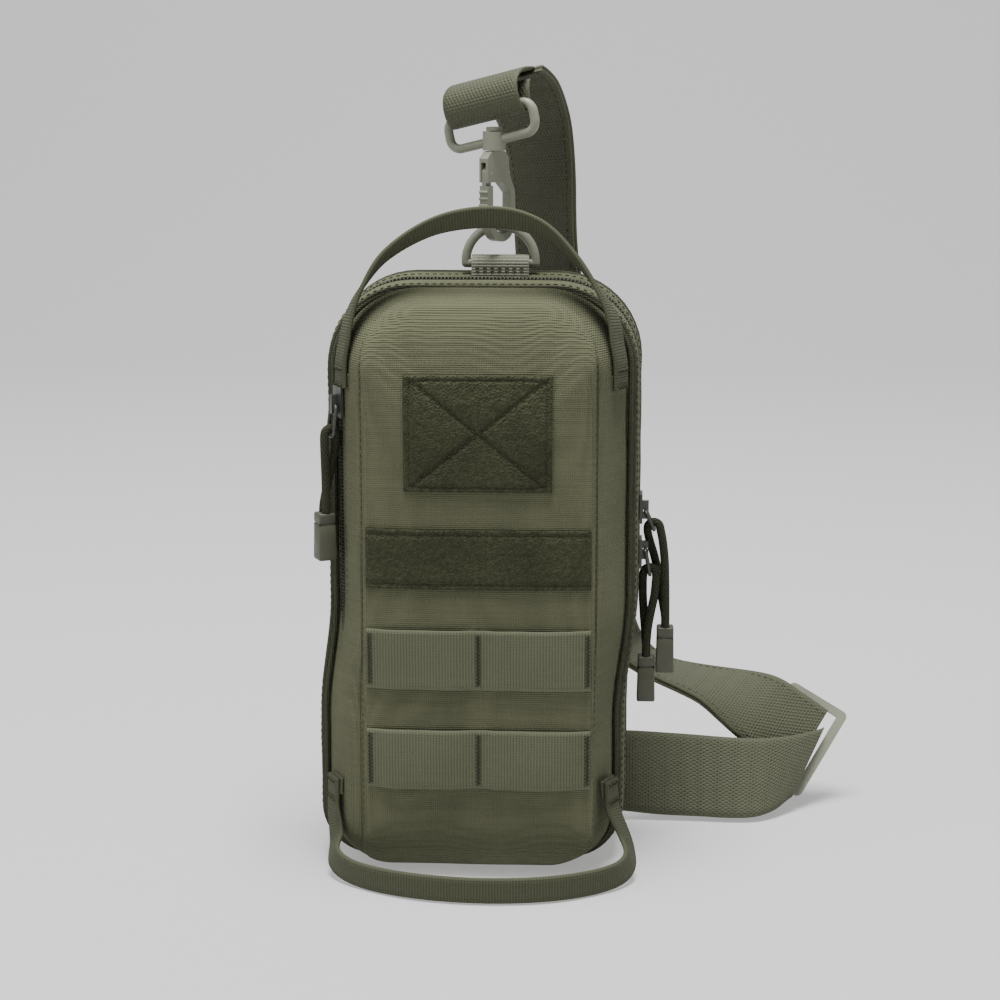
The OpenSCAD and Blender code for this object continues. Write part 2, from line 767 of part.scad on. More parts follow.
back_panel();
back_mesh();
back_lining();
rear_binding();
rear_gusset();
rear_zip_tape();
rear_zip_coil();
inner_pocket();
d_ring_tab();
strap_anchor();
strap_lower();
strap_upper();
strap_hook_fold();
d_ring();
swivel_ring();
hook_body();
hook_gate();
gate_pin();
gate_spring();
strap_slider();
front_gusset();
front_zip_tape();
front_zip_coil();
divider();
pocket_gusset();
pocket_binding();
pocket_zip_tape();
pocket_zip_coil();
front_panel();
patch_panel();
loop_strip();
molle_upper();
molle_lower();
bar_tacks();
top_handle();
bottom_handle();
handle_ends();
pocket_slider();
pocket_pull_ring();
pocket_pull_cord();
pocket_cord_end();
upper_slider();
upper_pull_ring();
upper_pull_cord();
upper_cord_end();
lower_slider();
lower_pull_ring();
lower_pull_cord();
lower_cord_end();
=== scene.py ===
"""Soft visual model of the sling bag, in metres, in the frame of its CAD model."""
import math
import bmesh
import bpy
from bpy.props import FloatProperty, FloatVectorProperty, PointerProperty
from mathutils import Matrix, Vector, noise
from mathutils.bvhtree import BVHTree


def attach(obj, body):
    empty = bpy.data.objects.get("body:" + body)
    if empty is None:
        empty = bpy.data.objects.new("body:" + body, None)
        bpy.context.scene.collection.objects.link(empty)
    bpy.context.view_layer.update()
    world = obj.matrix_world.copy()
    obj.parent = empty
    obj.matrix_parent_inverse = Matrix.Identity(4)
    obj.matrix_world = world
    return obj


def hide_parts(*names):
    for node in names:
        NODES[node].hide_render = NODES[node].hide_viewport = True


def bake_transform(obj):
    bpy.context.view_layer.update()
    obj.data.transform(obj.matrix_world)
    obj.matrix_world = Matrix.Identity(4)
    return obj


bl_info = {
    "name": "Sling bag",
    "version": (1, 0, 0),
    "blender": (4, 5, 0),
    "location": "3D View > Sidebar > Sling bag",
    "description": "Makes the soft parts, cords, straps and finishes of a sling bag",
    "category": "Add Mesh",
}

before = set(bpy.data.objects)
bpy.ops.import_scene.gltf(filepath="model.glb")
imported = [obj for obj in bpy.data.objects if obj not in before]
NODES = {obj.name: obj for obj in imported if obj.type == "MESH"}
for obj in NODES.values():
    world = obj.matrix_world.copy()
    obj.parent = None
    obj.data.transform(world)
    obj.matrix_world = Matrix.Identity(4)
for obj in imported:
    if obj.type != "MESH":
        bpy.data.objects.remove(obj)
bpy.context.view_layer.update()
MM = 0.001


# ---------- sizes and colours ----------

def length(name, description, default):
    return FloatProperty(name=name, description=description, default=default, min=0.0001, max=1.0,
                         unit="LENGTH", precision=5)


def colour(name, description, default):
    return FloatVectorProperty(name=name, description=description, default=default, size=3,
                               min=0.0, max=1.0, subtype="COLOR")


class SlingBagSizes(bpy.types.PropertyGroup):
    half_width: length("Half width", "Half the width of the main compartment", 0.067)
    height: length("Height", "Height of the main compartment", 0.254)
    top_radius: length("Top corner", "Radius of the two top corners", 0.036)
    base_radius: length("Base corner", "Radius of the two bottom corners", 0.024)
    strap_width: length("Strap width", "Width of the shoulder strap", 0.038)
    strap_layer: length("Strap layer", "Thickness of one layer of the strap", 0.0015)
    handle_width: length("Handle width", "Width of the handle webbing", 0.011)
    handle_layer: length("Handle layer", "Thickness of the handle webbing", 0.0024)
    row_height: length("Row height", "Height of a webbing row on the front", 0.0258)
    cord_diameter: length("Cord diameter", "Diameter of the pull cords", 0.0038)
    weave_pitch: length("Weave pitch", "Distance between two threads of the shell fabric", 0.0009)
    rib_pitch: length("Rib pitch", "Distance between two ribs of the webbing", 0.00125)
    coil_pitch: length("Coil pitch", "Distance between two turns of a zip coil", 0.0016)
    stitch_pitch: length("Stitch pitch", "Distance between two stitches", 0.0032)


class SlingBagColours(bpy.types.PropertyGroup):
    shell: colour("Shell", "Colour of the woven shell", (0.118, 0.1235, 0.074))
    webbing: colour("Webbing", "Colour of the handles and rows", (0.082, 0.086, 0.054))
    strap: colour("Strap", "Colour of the shoulder strap", (0.085, 0.089, 0.055))
    pile: colour("Pile", "Colour of the loop pile", (0.052, 0.0545, 0.030))
    binding: colour("Binding", "Colour of the piped edges", (0.060, 0.063, 0.040))
    lining: colour("Lining", "Colour of the lining", (0.060, 0.064, 0.044))
    mesh: colour("Mesh", "Colour of the spacer mesh on the back", (0.055, 0.058, 0.038))
    zip: colour("Zip", "Colour of the zip tape and coil", (0.038, 0.040, 0.025))
    thread: colour("Thread", "Colour of the sewing thread", (0.062, 0.064, 0.041))
    paint: colour("Paint", "Colour of the painted metal", (0.230, 0.238, 0.180))
    pull: colour("Pull", "Colour of the zip sliders and rings", (0.070, 0.072, 0.060))
    cord: colour("Cord", "Colour of the pull cords", (0.036, 0.038, 0.022))
    cord_end: colour("Cord end", "Colour of the moulded cord ends", (0.062, 0.065, 0.041))
    floor: colour("Floor", "Colour of the floor", (0.45, 0.45, 0.45))


def sizes():
    return bpy.context.scene.sling_bag_sizes


def colours():
    return bpy.context.scene.sling_bag_colours


# ---------- finishes ----------

def put(tree, kind, inputs=None, **settings):
    """Adds a node; an input is a value, or the output socket that feeds it."""
    node = tree.nodes.new(kind)
    for key, value in settings.items():
        setattr(node, key, value)
    for key, value in (inputs or {}).items():
        if isinstance(value, bpy.types.NodeSocket):
            tree.links.new(value, node.inputs[key])
        else:
            node.inputs[key].default_value = value
    return node


def maths(tree, operation, a, b=None):
    inputs = {0: a} if b is None else {0: a, 1: b}
    return put(tree, "ShaderNodeMath", inputs, operation=operation).outputs[0]


def wave(tree, socket, pitch):
    """A sine along one coordinate, -1 to 1, with that pitch in metres."""
    return maths(tree, "SINE", maths(tree, "MULTIPLY", socket, 2 * math.pi / pitch))


def mix(tree, factor, first, second):
    node = put(tree, "ShaderNodeMix", {"Factor": factor}, data_type="RGBA")
    for socket, value in ((node.inputs[6], first), (node.inputs[7], second)):
        if isinstance(value, bpy.types.NodeSocket):
            tree.links.new(value, socket)
        else:
            socket.default_value = value
    return node.outputs[2]


def shade(rgb, factor):
    return (rgb[0] * factor, rgb[1] * factor, rgb[2] * factor, 1.0)


def object_axes(tree):
    place = put(tree, "ShaderNodeTexCoord").outputs["Object"]
    return place, put(tree, "ShaderNodeSeparateXYZ", {0: place}).outputs


def lay_axes(tree):
    """Across, along and edge share of a strip, cord or coil."""
    place = put(tree, "ShaderNodeAttribute", attribute_name="lay").outputs["Vector"]
    return place, put(tree, "ShaderNodeSeparateXYZ", {0: place}).outputs


def cloudy(tree, place, scale, detail=3.0, rough=0.55):
    return put(tree, "ShaderNodeTexNoise", {"Vector": place, "Scale": scale, "Detail": detail,
                                            "Roughness": rough}).outputs["Fac"]


def spread(tree, value, low, high, to_low=0.0, to_high=1.0):
    return put(tree, "ShaderNodeMapRange", {"Value": value, "From Min": low, "From Max": high,
                                            "To Min": to_low, "To Max": to_high}).outputs["Result"]


FINISHES = {}


def finish(name, rgb, relief, depth, tone, roughness=0.85, sheen=0.0, metallic=0.0, specular=0.1,
           rough_map=None, coat=0.0):
    """A material: relief is its height, depth that height in metres, tone how light each point is, 0 to 1."""
    if name in FINISHES:
        return FINISHES[name]
    material = FINISHES[name] = bpy.data.materials.new("made_" + name)
    material.use_nodes = True
    tree = material.node_tree
    shader = tree.nodes["Principled BSDF"]
    shader.inputs["Metallic"].default_value = metallic
    shader.inputs["Specular IOR Level"].default_value = specular
    shader.inputs["Sheen Weight"].default_value = sheen
    shader.inputs["Sheen Roughness"].default_value = 0.5
    shader.inputs["Coat Weight"].default_value = coat
    tree.links.new(mix(tree, tone(tree), shade(rgb, 0.62), shade(rgb, 1.28)), shader.inputs["Base Color"])
    if rough_map:
        tree.links.new(rough_map(tree), shader.inputs["Roughness"])
    else:
        shader.inputs["Roughness"].default_value = roughness
    bump = put(tree, "ShaderNodeBump", {"Strength": 1.0, "Distance": depth, "Height": relief(tree)})
    tree.links.new(bump.outputs["Normal"], shader.inputs["Normal"])
    return material


def weave_relief(pitch):
    def relief(tree):
        place, axes = object_axes(tree)
        crossing = maths(tree, "ADD", maths(tree, "ADD", wave(tree, axes[0], pitch), wave(tree, axes[1], pitch)),
                         wave(tree, axes[2], pitch))
        return maths(tree, "ADD", crossing, maths(tree, "MULTIPLY", cloudy(tree, place, 260.0), 2.0))
    return relief


def weave_tone(pitch, patch=18.0):
    def tone(tree):
        place, axes = object_axes(tree)
        wide = spread(tree, cloudy(tree, place, patch, 4.0), 0.3, 0.7, 0.34, 0.62)
        slub = put(tree, "ShaderNodeMapping", {"Vector": place, "Scale": (40.0, 40.0, 900.0)}).outputs[0]
        wide = maths(tree, "ADD", wide, spread(tree, cloudy(tree, slub, 1.0, 2.0), 0.3, 0.7, -0.09, 0.09))
        crossing = maths(tree, "ADD", maths(tree, "ADD", wave(tree, axes[0], pitch), wave(tree, axes[1], pitch)),
                         wave(tree, axes[2], pitch))
        return maths(tree, "ADD", wide, maths(tree, "MULTIPLY", crossing, 0.07))
    return tone


def shell_fabric():
    pitch = sizes().weave_pitch
    return finish("shell_fabric", colours().shell, weave_relief(pitch), 0.00010, weave_tone(pitch), 0.85, sheen=0.02)


def lining_fabric():
    pitch = sizes().weave_pitch * 0.8
    return finish("lining_fabric", colours().lining, weave_relief(pitch), 0.00006, weave_tone(pitch), 0.62,
                  sheen=0.03)


def mesh_fabric():
    def relief(tree):
        place, axes = object_axes(tree)
        slant = maths(tree, "MULTIPLY", wave(tree, maths(tree, "ADD", axes[0], axes[2]), 0.0034),
                      wave(tree, maths(tree, "SUBTRACT", axes[0], axes[2]), 0.0034))
        return maths(tree, "ADD", slant, maths(tree, "MULTIPLY", cloudy(tree, place, 900.0), 0.5))

    def tone(tree):
        place, axes = object_axes(tree)
        slant = maths(tree, "MULTIPLY", wave(tree, maths(tree, "ADD", axes[0], axes[2]), 0.0034),
                      wave(tree, maths(tree, "SUBTRACT", axes[0], axes[2]), 0.0034))
        return maths(tree, "ADD", spread(tree, slant, -1.0, 1.0, 0.25, 0.75),
                     spread(tree, cloudy(tree, place, 30.0), 0.3, 0.7, -0.1, 0.1))
    return finish("mesh_fabric", colours().mesh, relief, 0.0006, tone, 0.9, sheen=0.03)


def rib_height(tree, pitch):
    place, axes = lay_axes(tree)
    rib = maths(tree, "ABSOLUTE", wave(tree, axes[1], 2 * pitch))
    thread = maths(tree, "MULTIPLY", wave(tree, axes[0], 0.0011), 0.16)
    return place, axes, maths(tree, "ADD", rib, thread)


def webbing(name="webbing", rgb=None, pitch=None):
    """Webbing with ribs across it and a flat selvedge at each edge."""
    pitch = pitch or sizes().rib_pitch

    def relief(tree):
        place, axes, rib = rib_height(tree, pitch)
        inside = spread(tree, axes[2], 0.90, 0.96, 1.0, 0.2)
        return maths(tree, "ADD", maths(tree, "MULTIPLY", rib, inside),
                     maths(tree, "MULTIPLY", cloudy(tree, place, 700.0), 0.35))

    def tone(tree):
        place, axes, rib = rib_height(tree, pitch)
        base = spread(tree, rib, 0.0, 1.1, 0.14, 0.62)
        base = maths(tree, "ADD", base, spread(tree, cloudy(tree, place, 60.0, 4.0), 0.3, 0.7, -0.1, 0.1))
        return maths(tree, "ADD", base, spread(tree, axes[2], 0.88, 1.0, 0.0, 0.12))
    return finish(name, rgb or colours().webbing, relief, 0.00028, tone, 0.72, sheen=0.02)


def strap_webbing():
    """Webbing with a raised diamond weave."""
    def height(tree):
        place, axes = lay_axes(tree)
        fine = wave(tree, maths(tree, "ADD", axes[0], maths(tree, "MULTIPLY", axes[1], 0.55)), 0.0017)
        cross = wave(tree, maths(tree, "SUBTRACT", axes[0], maths(tree, "MULTIPLY", axes[1], 0.55)), 0.0017)
        rows = maths(tree, "ABSOLUTE", wave(tree, axes[1], 0.0026))
        raised = maths(tree, "MAXIMUM", fine, cross)
        woven = maths(tree, "ADD", maths(tree, "MULTIPLY", raised, 0.6), maths(tree, "MULTIPLY", rows, 0.5))
        return place, axes, woven

    def relief(tree):
        place, axes, raised = height(tree)
        inside = spread(tree, axes[2], 0.90, 0.95, 1.0, 0.25)
        return maths(tree, "ADD", maths(tree, "MULTIPLY", raised, inside),
                     maths(tree, "MULTIPLY", cloudy(tree, place, 500.0), 0.3))

    def tone(tree):
        place, axes, raised = height(tree)
        base = spread(tree, raised, -0.4, 1.1, 0.22, 0.62)
        return maths(tree, "ADD", base, spread(tree, cloudy(tree, place, 45.0, 4.0), 0.3, 0.7, -0.09, 0.09))
    return finish("strap_webbing", colours().strap, relief, 0.00026, tone, 0.55, sheen=0.02, specular=0.2)


def loop_pile():
    def relief(tree):
        place, _ = object_axes(tree)
        curl = put(tree, "ShaderNodeTexVoronoi", {"Vector": place, "Scale": 950.0}).outputs["Distance"]
        return maths(tree, "ADD", maths(tree, "MULTIPLY", curl, 1.2), cloudy(tree, place, 420.0, 6.0, 0.7))

    def tone(tree):
        place, _ = object_axes(tree)
        tuft = spread(tree, cloudy(tree, place, 520.0, 6.0, 0.75), 0.32, 0.68, 0.0, 0.85)
        return maths(tree, "ADD", tuft, spread(tree, cloudy(tree, place, 55.0), 0.3, 0.7, -0.22, 0.22))
    return finish("loop_pile", colours().pile, relief, 0.0008, tone, 0.95, sheen=0.04)


def binding_tape():
    pitch = 0.0008
    return finish("binding_tape", colours().binding, weave_relief(pitch), 0.00012, weave_tone(pitch, 30.0), 0.75,
                  sheen=0.02)


def zip_tape():
    def relief(tree):
        _, axes = object_axes(tree)
        slant = wave(tree, maths(tree, "ADD", axes[0], axes[2]), 0.0009)
        return maths(tree, "ADD", slant, wave(tree, axes[1], 0.0012))

    def tone(tree):
        place, axes = object_axes(tree)
        return maths(tree, "ADD", spread(tree, wave(tree, axes[1], 0.0012), -1.0, 1.0, 0.35, 0.6),
                     spread(tree, cloudy(tree, place, 50.0), 0.3, 0.7, -0.1, 0.1))
    return finish("zip_tape", colours().zip, relief, 0.00008, tone, 0.8)


def scuffed(name, rgb, roughness, coat=0.0, metallic=0.0, grain=700.0, depth=0.00003, specular=0.5):
    """Paint, plastic or rubber with a fine grain, cloudy gloss and lighter scuffs."""
    def relief(tree):
        place, _ = object_axes(tree)
        return cloudy(tree, place, grain, 5.0, 0.6)

    def tone(tree):
        place, _ = object_axes(tree)
        scuff = spread(tree, cloudy(tree, place, 160.0, 6.0, 0.7), 0.60, 0.74, 0.0, 0.35)
        return maths(tree, "ADD", spread(tree, cloudy(tree, place, 45.0), 0.3, 0.7, 0.42, 0.62), scuff)

    def rough_map(tree):
        place, _ = object_axes(tree)
        return spread(tree, cloudy(tree, place, 240.0, 4.0), 0.3, 0.7, roughness - 0.08, roughness + 0.1)
    return finish(name, rgb, relief, depth, tone, roughness, metallic=metallic, specular=specular,
                  rough_map=rough_map, coat=coat)


def painted_metal():
    return scuffed("painted_metal", colours().paint, 0.42)


def pull_metal():
    return scuffed("pull_metal", colours().pull, 0.36, metallic=0.35)


def spring_steel():
    return scuffed("spring_steel", (0.42, 0.42, 0.40), 0.3, metallic=1.0)


def coil_plastic():
    return scuffed("coil_plastic", colours().zip, 0.4, grain=300.0)


def moulded_rubber():
    return scuffed("moulded_rubber", colours().cord_end, 0.5, grain=900.0, depth=0.00005)


def braided_cord():
    def relief(tree):
        _, axes = lay_axes(tree)
        one = wave(tree, maths(tree, "ADD", axes[0], maths(tree, "MULTIPLY", axes[1], 0.7)), 0.0015)
        two = wave(tree, maths(tree, "SUBTRACT", axes[0], maths(tree, "MULTIPLY", axes[1], 0.7)), 0.0015)
        return maths(tree, "MAXIMUM", one, two)

    def tone(tree):
        return maths(tree, "ADD", spread(tree, relief(tree), -1.0, 1.0, 0.25, 0.62),
                     spread(tree, cloudy(tree, object_axes(tree)[0], 80.0), 0.3, 0.7, -0.1, 0.1))
    return finish("braided_cord", colours().cord, relief, 0.00022, tone, 0.7, sheen=0.03)


def sewing_thread():
    def relief(tree):
        _, axes = object_axes(tree)
        return wave(tree, maths(tree, "ADD", maths(tree, "ADD", axes[0], axes[1]), axes[2]), 0.0005)

    def tone(tree):
        return spread(tree, cloudy(tree, object_axes(tree)[0], 90.0), 0.3, 0.7, 0.3, 0.7)
    return finish("sewing_thread", colours().thread, relief, 0.00004, tone, 0.6)


# ---------- shaping ----------

def smoothstep(t):
    t = min(max(t, 0.0), 1.0)
    return t * t * (3 - 2 * t)


def lean(p):
    """The lower part of the body has settled a little to one side; p in millimetres."""
    back = smoothstep((p.y + 41) / 9)
    return Vector((p.x - 5.0 * smoothstep((118 - p.z) / 52) * back, p.y, p.z))


def crumple(p, amount, size, seed=0.0):
    """A smooth push in and out along Y and a lesser one along X, in millimetres."""
    place = Vector((p.x / size, p.y / size + seed, p.z / size * 1.6))
    push = noise.noise(place) * amount
    return Vector((p.x + 0.5 * noise.noise(place + Vector((7.3, 1.1, 3.7))) * amount, p.y + push, p.z))


def outline(hw, top, bottom, rt, rb, side_n=26, end_n=12, corner_n=8):
    """Round-cornered rectangle as (x, z, outward x, outward z), from the middle of the base towards +X."""
    rows = []

    def straight(a, b, out, n):
        for k in range(n):
            t = k / n
            rows.append((a[0] + (b[0] - a[0]) * t, a[1] + (b[1] - a[1]) * t, out[0], out[1]))

    def corner(cx, cz, r, start):
        for k in range(corner_n):
            turn = math.radians(start + 90 * k / corner_n)
            rows.append((cx + r * math.cos(turn), cz + r * math.sin(turn), math.cos(turn), math.sin(turn)))

    straight((0, bottom), (hw - rb, bottom), (0, -1), end_n // 2)
    corner(hw - rb, bottom + rb, rb, -90)
    straight((hw, bottom + rb), (hw, top - rt), (1, 0), side_n)
    corner(hw - rt, top - rt, rt, 0)
    straight((hw - rt, top), (-hw + rt, top), (0, 1), end_n)
    corner(-hw + rt, top - rt, rt, 90)
    straight((-hw, top - rt), (-hw, bottom + rb), (-1, 0), side_n)
    corner(-hw + rb, bottom + rb, rb, 180)
    straight((-hw + rb, bottom), (0, bottom), (0, -1), end_n // 2)
    return rows


def body_outline(inset, **counts):
    s = sizes()
    return outline(s.half_width / MM - inset, s.height / MM - inset, inset, s.top_radius / MM - inset,
                   s.base_radius / MM - inset, **counts)


def loft(bm, rings, lays=None, caps=True, closed=False):
    """Extrudes the first ring of points, in millimetres, through all the others."""
    layer = bm.verts.layers.float_vector.get("lay") or bm.verts.layers.float_vector.new("lay")
    count = len(rings[0])
    ring = [bm.verts.new(p * MM) for p in rings[0]]
    edges = [bm.edges.new((ring[i], ring[(i + 1) % count])) for i in range(count)]
    made = [ring]
    ends = [edges]
    for points in rings[1:]:
        geom = bmesh.ops.extrude_edge_only(bm, edges=edges)["geom"]
        fresh = {v for v in geom if isinstance(v, bmesh.types.BMVert)}
        ring = [next(e.other_vert(v) for e in v.link_edges if e.other_vert(v) in fresh) for v in ring]
        for v, p in zip(ring, points):
            v.co = p * MM
        edges = [bm.edges.get((ring[i], ring[(i + 1) % count])) for i in range(count)]
        made.append(ring)
    ends.append(edges)
    if lays:
        for ring, lay in zip(made, lays):
            for v, value in zip(ring, lay):
                v[layer] = Vector(value)
    if closed:
        bmesh.ops.remove_doubles(bm, verts=made[0] + made[-1], dist=1e-7)
    elif caps:
        for edges in ends:
            bmesh.ops.holes_fill(bm, edges=edges, sides=0)
    return made


def fresh():
    bm = bmesh.new()
    bm.verts.layers.float_vector.new("lay")
    return bm


def publish(bm, name, material, body=None, replaced=(), smooth=True, levels=0, merge=True):
    """Turns a bmesh into a finished piece with its material, body and the nodes it stands for."""
    if merge:
        bmesh.ops.remove_doubles(bm, verts=bm.verts, dist=1e-7)
    bmesh.ops.recalc_face_normals(bm, faces=bm.faces)
    mesh = bpy.data.meshes.new(name)
    bm.to_mesh(mesh)
    bm.free()
    for polygon in mesh.polygons:
        polygon.use_smooth = smooth
    mesh.materials.append(material)
    piece = bpy.data.objects.new(name, mesh)
    bpy.context.scene.collection.objects.link(piece)
    if levels:
        modifier = piece.modifiers.new("Rounded", "SUBSURF")
        modifier.levels = modifier.render_levels = levels
    if body:
        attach(piece, body)
    for node in replaced:
        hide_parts(node)
    return piece


def curve_points(stops, steps):
    """Catmull-Rom points through the stops, each a tuple of numbers."""
    stops = [Vector(p) for p in stops]
    out = []
    for i in range(len(stops) - 1):
        a, b = stops[max(i - 1, 0)], stops[i]
        c, d = stops[i + 1], stops[min(i + 2, len(stops) - 1)]
        for k in range(steps):
            t = k / steps
            out.append(0.5 * (2 * b + (c - a) * t + (2 * a - 5 * b + 4 * c - d) * t * t
                              + (3 * b - a - 3 * c + d) * t ** 3))
    out.append(stops[-1])
    return out


def tangents(points, closed=False):
    n = len(points)
    if closed:
        return [(points[(i + 1) % n] - points[i - 1]).normalized() for i in range(n)]
    return [(points[min(i + 1, n - 1)] - points[max(i - 1, 0)]).normalized() for i in range(n)]


def strip_section(width, thick, across=6):
    """Section of webbing with rounded edges: (across, out, edge share) round the section."""
    half, t = width / 2, thick / 2
    corner = min(t * 0.7, half * 0.2)
    points = []
    for side in (-1, 1):
        for k in range(across + 1):
            u = (-half + corner) + (width - 2 * corner) * k / across
            points.append((u * -side, side * t))
        points.append((half * -side, side * t * 0.45))
        if side == -1:
            points.append((half, t * 0.45))
        else:
            points.append((-half, -t * 0.45))
    return [(u, v, abs(u) / half) for u, v in points]


def ribbon(bm, stops, width, thick, steps=8, across=6, start=0.0, shape=None):
    """Webbing along stops of (centre, direction of the width), in millimetres."""
    centres = curve_points([s[0] for s in stops], steps)
    widths = curve_points([s[1] for s in stops], steps)
    section = strip_section(width, thick, across)
    rings, lays, run = [], [], start
    lines = tangents(centres)
    for i, (c, t) in enumerate(zip(centres, lines)):
        if i:
            run += (c - centres[i - 1]).length
        w = widths[i].normalized()
        out = t.cross(w).normalized()
        ring = [c + w * u + out * v for u, v, _ in section]
        rings.append([shape(p) for p in ring] if shape else ring)
        lays.append([(u * MM, run * MM, edge) for u, v, edge in section])
    return loft(bm, rings, lays)


def tube(bm, points, radius, sides=10, closed=False, across=Vector((0, 1, 0))):
    """Round cord or piping through points in millimetres."""
    lines = tangents(points, closed)
    rings, lays, run = [], [], 0.0
    side = across
    for i, (p, t) in enumerate(zip(points, lines)):
        if i:
            run += (p - points[i - 1]).length
        u = (side - t * side.dot(t)).normalized()
        v = t.cross(u)
        side = u
        r = radius(i / max(len(points) - 1, 1)) if callable(radius) else radius
        turns = [2 * math.pi * k / sides for k in range(sides)]
        rings.append([p + (u * math.cos(a) + v * math.sin(a)) * r for a in turns])
        lays.append([(a * r * MM, run * MM, 0.0) for a in turns])
    if closed:
        rings.append(rings[0])
        lays.append(lays[0])
    return loft(bm, rings, lays, closed=closed)


def swept_band(bm, profile, shape=lean, **counts):
    """A closed profile of (inset, y) carried round the outline of the main compartment."""
    rings = []
    for inset, y in list(profile) + [profile[0]]:
        rings.append([shape(Vector((x, y, z))) for x, z, _, _ in body_outline(inset, **counts)])
    return loft(bm, rings, closed=True)


def cut_below(bm, z, keep_above=True):
    """Cuts the mesh at a height in millimetres and closes the cut."""
    geom = bm.verts[:] + bm.edges[:] + bm.faces[:]
    cut = bmesh.ops.bisect_plane(bm, geom=geom, plane_co=(0, 0, z * MM), plane_no=(0, 0, 1),
                                 clear_inner=keep_above, clear_outer=not keep_above)["geom_cut"]
    edges = [e for e in cut if isinstance(e, bmesh.types.BMEdge)]
    bmesh.ops.holes_fill(bm, edges=edges, sides=0)


def stitches(bm, points, outward, pitch=None, long_share=0.62, radius=0.28, lift=0.05, closed=False):
    """A row of raised stitches along points in millimetres; outward is one direction or one for each point."""
    pitch = (pitch or sizes().stitch_pitch) / MM
    run, goal = 0.0, pitch / 2
    for i in range(len(points) if closed else len(points) - 1):
        a, b = points[i], points[(i + 1) % len(points)]
        step = (b - a).length
        while step > 0 and goal <= run + step:
            t = (goal - run) / step
            out = outward[i] if isinstance(outward, list) else outward
            along = (b - a).normalized()
            side = out.cross(along).normalized()
            up = along.cross(side)
            middle, half = a.lerp(b, t) + up * lift, pitch * long_share / 2
            rings = [[bm.verts.new((middle + along * half * place + side * u * radius + up * w * radius) * MM)
                      for u, w in ((1, 0), (0, 1), (-1, 0), (0, -1))] for place in (-0.55, 0.55)]
            tips = [bm.verts.new((middle + along * half * place) * MM) for place in (-1, 1)]
            for k in range(4):
                n = (k + 1) % 4
                bm.faces.new((rings[0][k], rings[0][n], rings[1][n], rings[1][k]))
                bm.faces.new((tips[0], rings[0][n], rings[0][k]))
                bm.faces.new((tips[1], rings[1][k], rings[1][n]))
            goal += pitch
        run += step


def finishes(node, material):
    """Gives a carried-over node its material."""
    piece = NODES[node]
    if not piece.material_slots:
        piece.data.materials.append(material)
    for place in piece.material_slots:
        place.material = material
    return piece


# ---------- cords and their moulded ends ----------

ALONG_POCKET = Vector((0.448, -0.894, 0)).normalized()
OFF_POCKET = Vector((-0.894, -0.448, 0)).normalized()
POCKET_ZIP = Vector((-57.65, -20.5, 0))
PULLS = {
    "pocket": ((-57.65, -20.5, 204), 5.2, -1.5, OFF_POCKET, ALONG_POCKET, (4.7, 0, -46), [
        (4.7, 1.95, -45.7), (4.6, 1.9, -42), (4.5, 1.4, -34), (4.5, 0.9, -25), (4.5, 0.3, -17.5), (4.35, 0, -13),
        (3.7, 0, -10.8), (1.6, 0, -9.7), (-0.4, 0, -10.7), (-1.05, 0, -13), (-0.55, -0.3, -17.5), (0.8, -0.9, -25),
        (2.9, -1.4, -34), (4.4, -1.9, -42), (4.7, -1.95, -45.7)]),
    "upper": ((67, 7.8, 154), 3.0, -1.5, Vector((1, 0, 0)), Vector((0, 1, 0)), (9.2, 0, -52), [
        (9.2, -1.95, -51.7), (9.2, -1.95, -47), (9.1, -1.9, -38), (8.9, -1.8, -30), (8.6, -1.6, -22),
        (7.8, -1.2, -14.5), (6.8, -0.6, -9), (5.9, -0.1, -6.1), (3.7, 0.3, -5.1), (1.5, 0.8, -6.3), (1, 1.9, -9.2),
        (2, 3.4, -14), (4.4, 3.9, -22), (6.3, 3.5, -31), (7.8, 2.6, -40), (9.1, 1.95, -47.5), (9.2, 1.95, -51.7)]),
    "lower": ((67, 7.8, 134), 3.0, 1.5, Vector((1, 0, 0)), Vector((0, 1, 0)), (1, 0, -48.3), [
        (1, -1.95, -48), (1, -1.95, -44), (1.5, -1.95, -36), (2.8, -2, -28), (4.2, -1.9, -21), (4.8, -1.4, -15.5),
        (5, -0.4, -11.7), (4.3, 0, -9.2), (2.2, 0, -8.3), (0.1, 0, -9.2), (-0.65, 0.4, -11.7), (-0.8, 1.3, -15.5),
        (-0.7, 1.9, -22), (-0.2, 2, -30), (0.5, 1.95, -38), (1, 1.95, -44), (1, 1.95, -48)]),
}


def on_pull(name):
    """Gives a function that carries a point from the pull's pivot into the frame, in millimetres."""
    origin, out, rise, x, y, _, _ = PULLS[name]
    pivot = Vector(origin) + x * out + Vector((0, 0, rise))

    def place(p):
        return pivot + x * p[0] + y * p[1] + Vector((0, 0, p[2]))
    return place


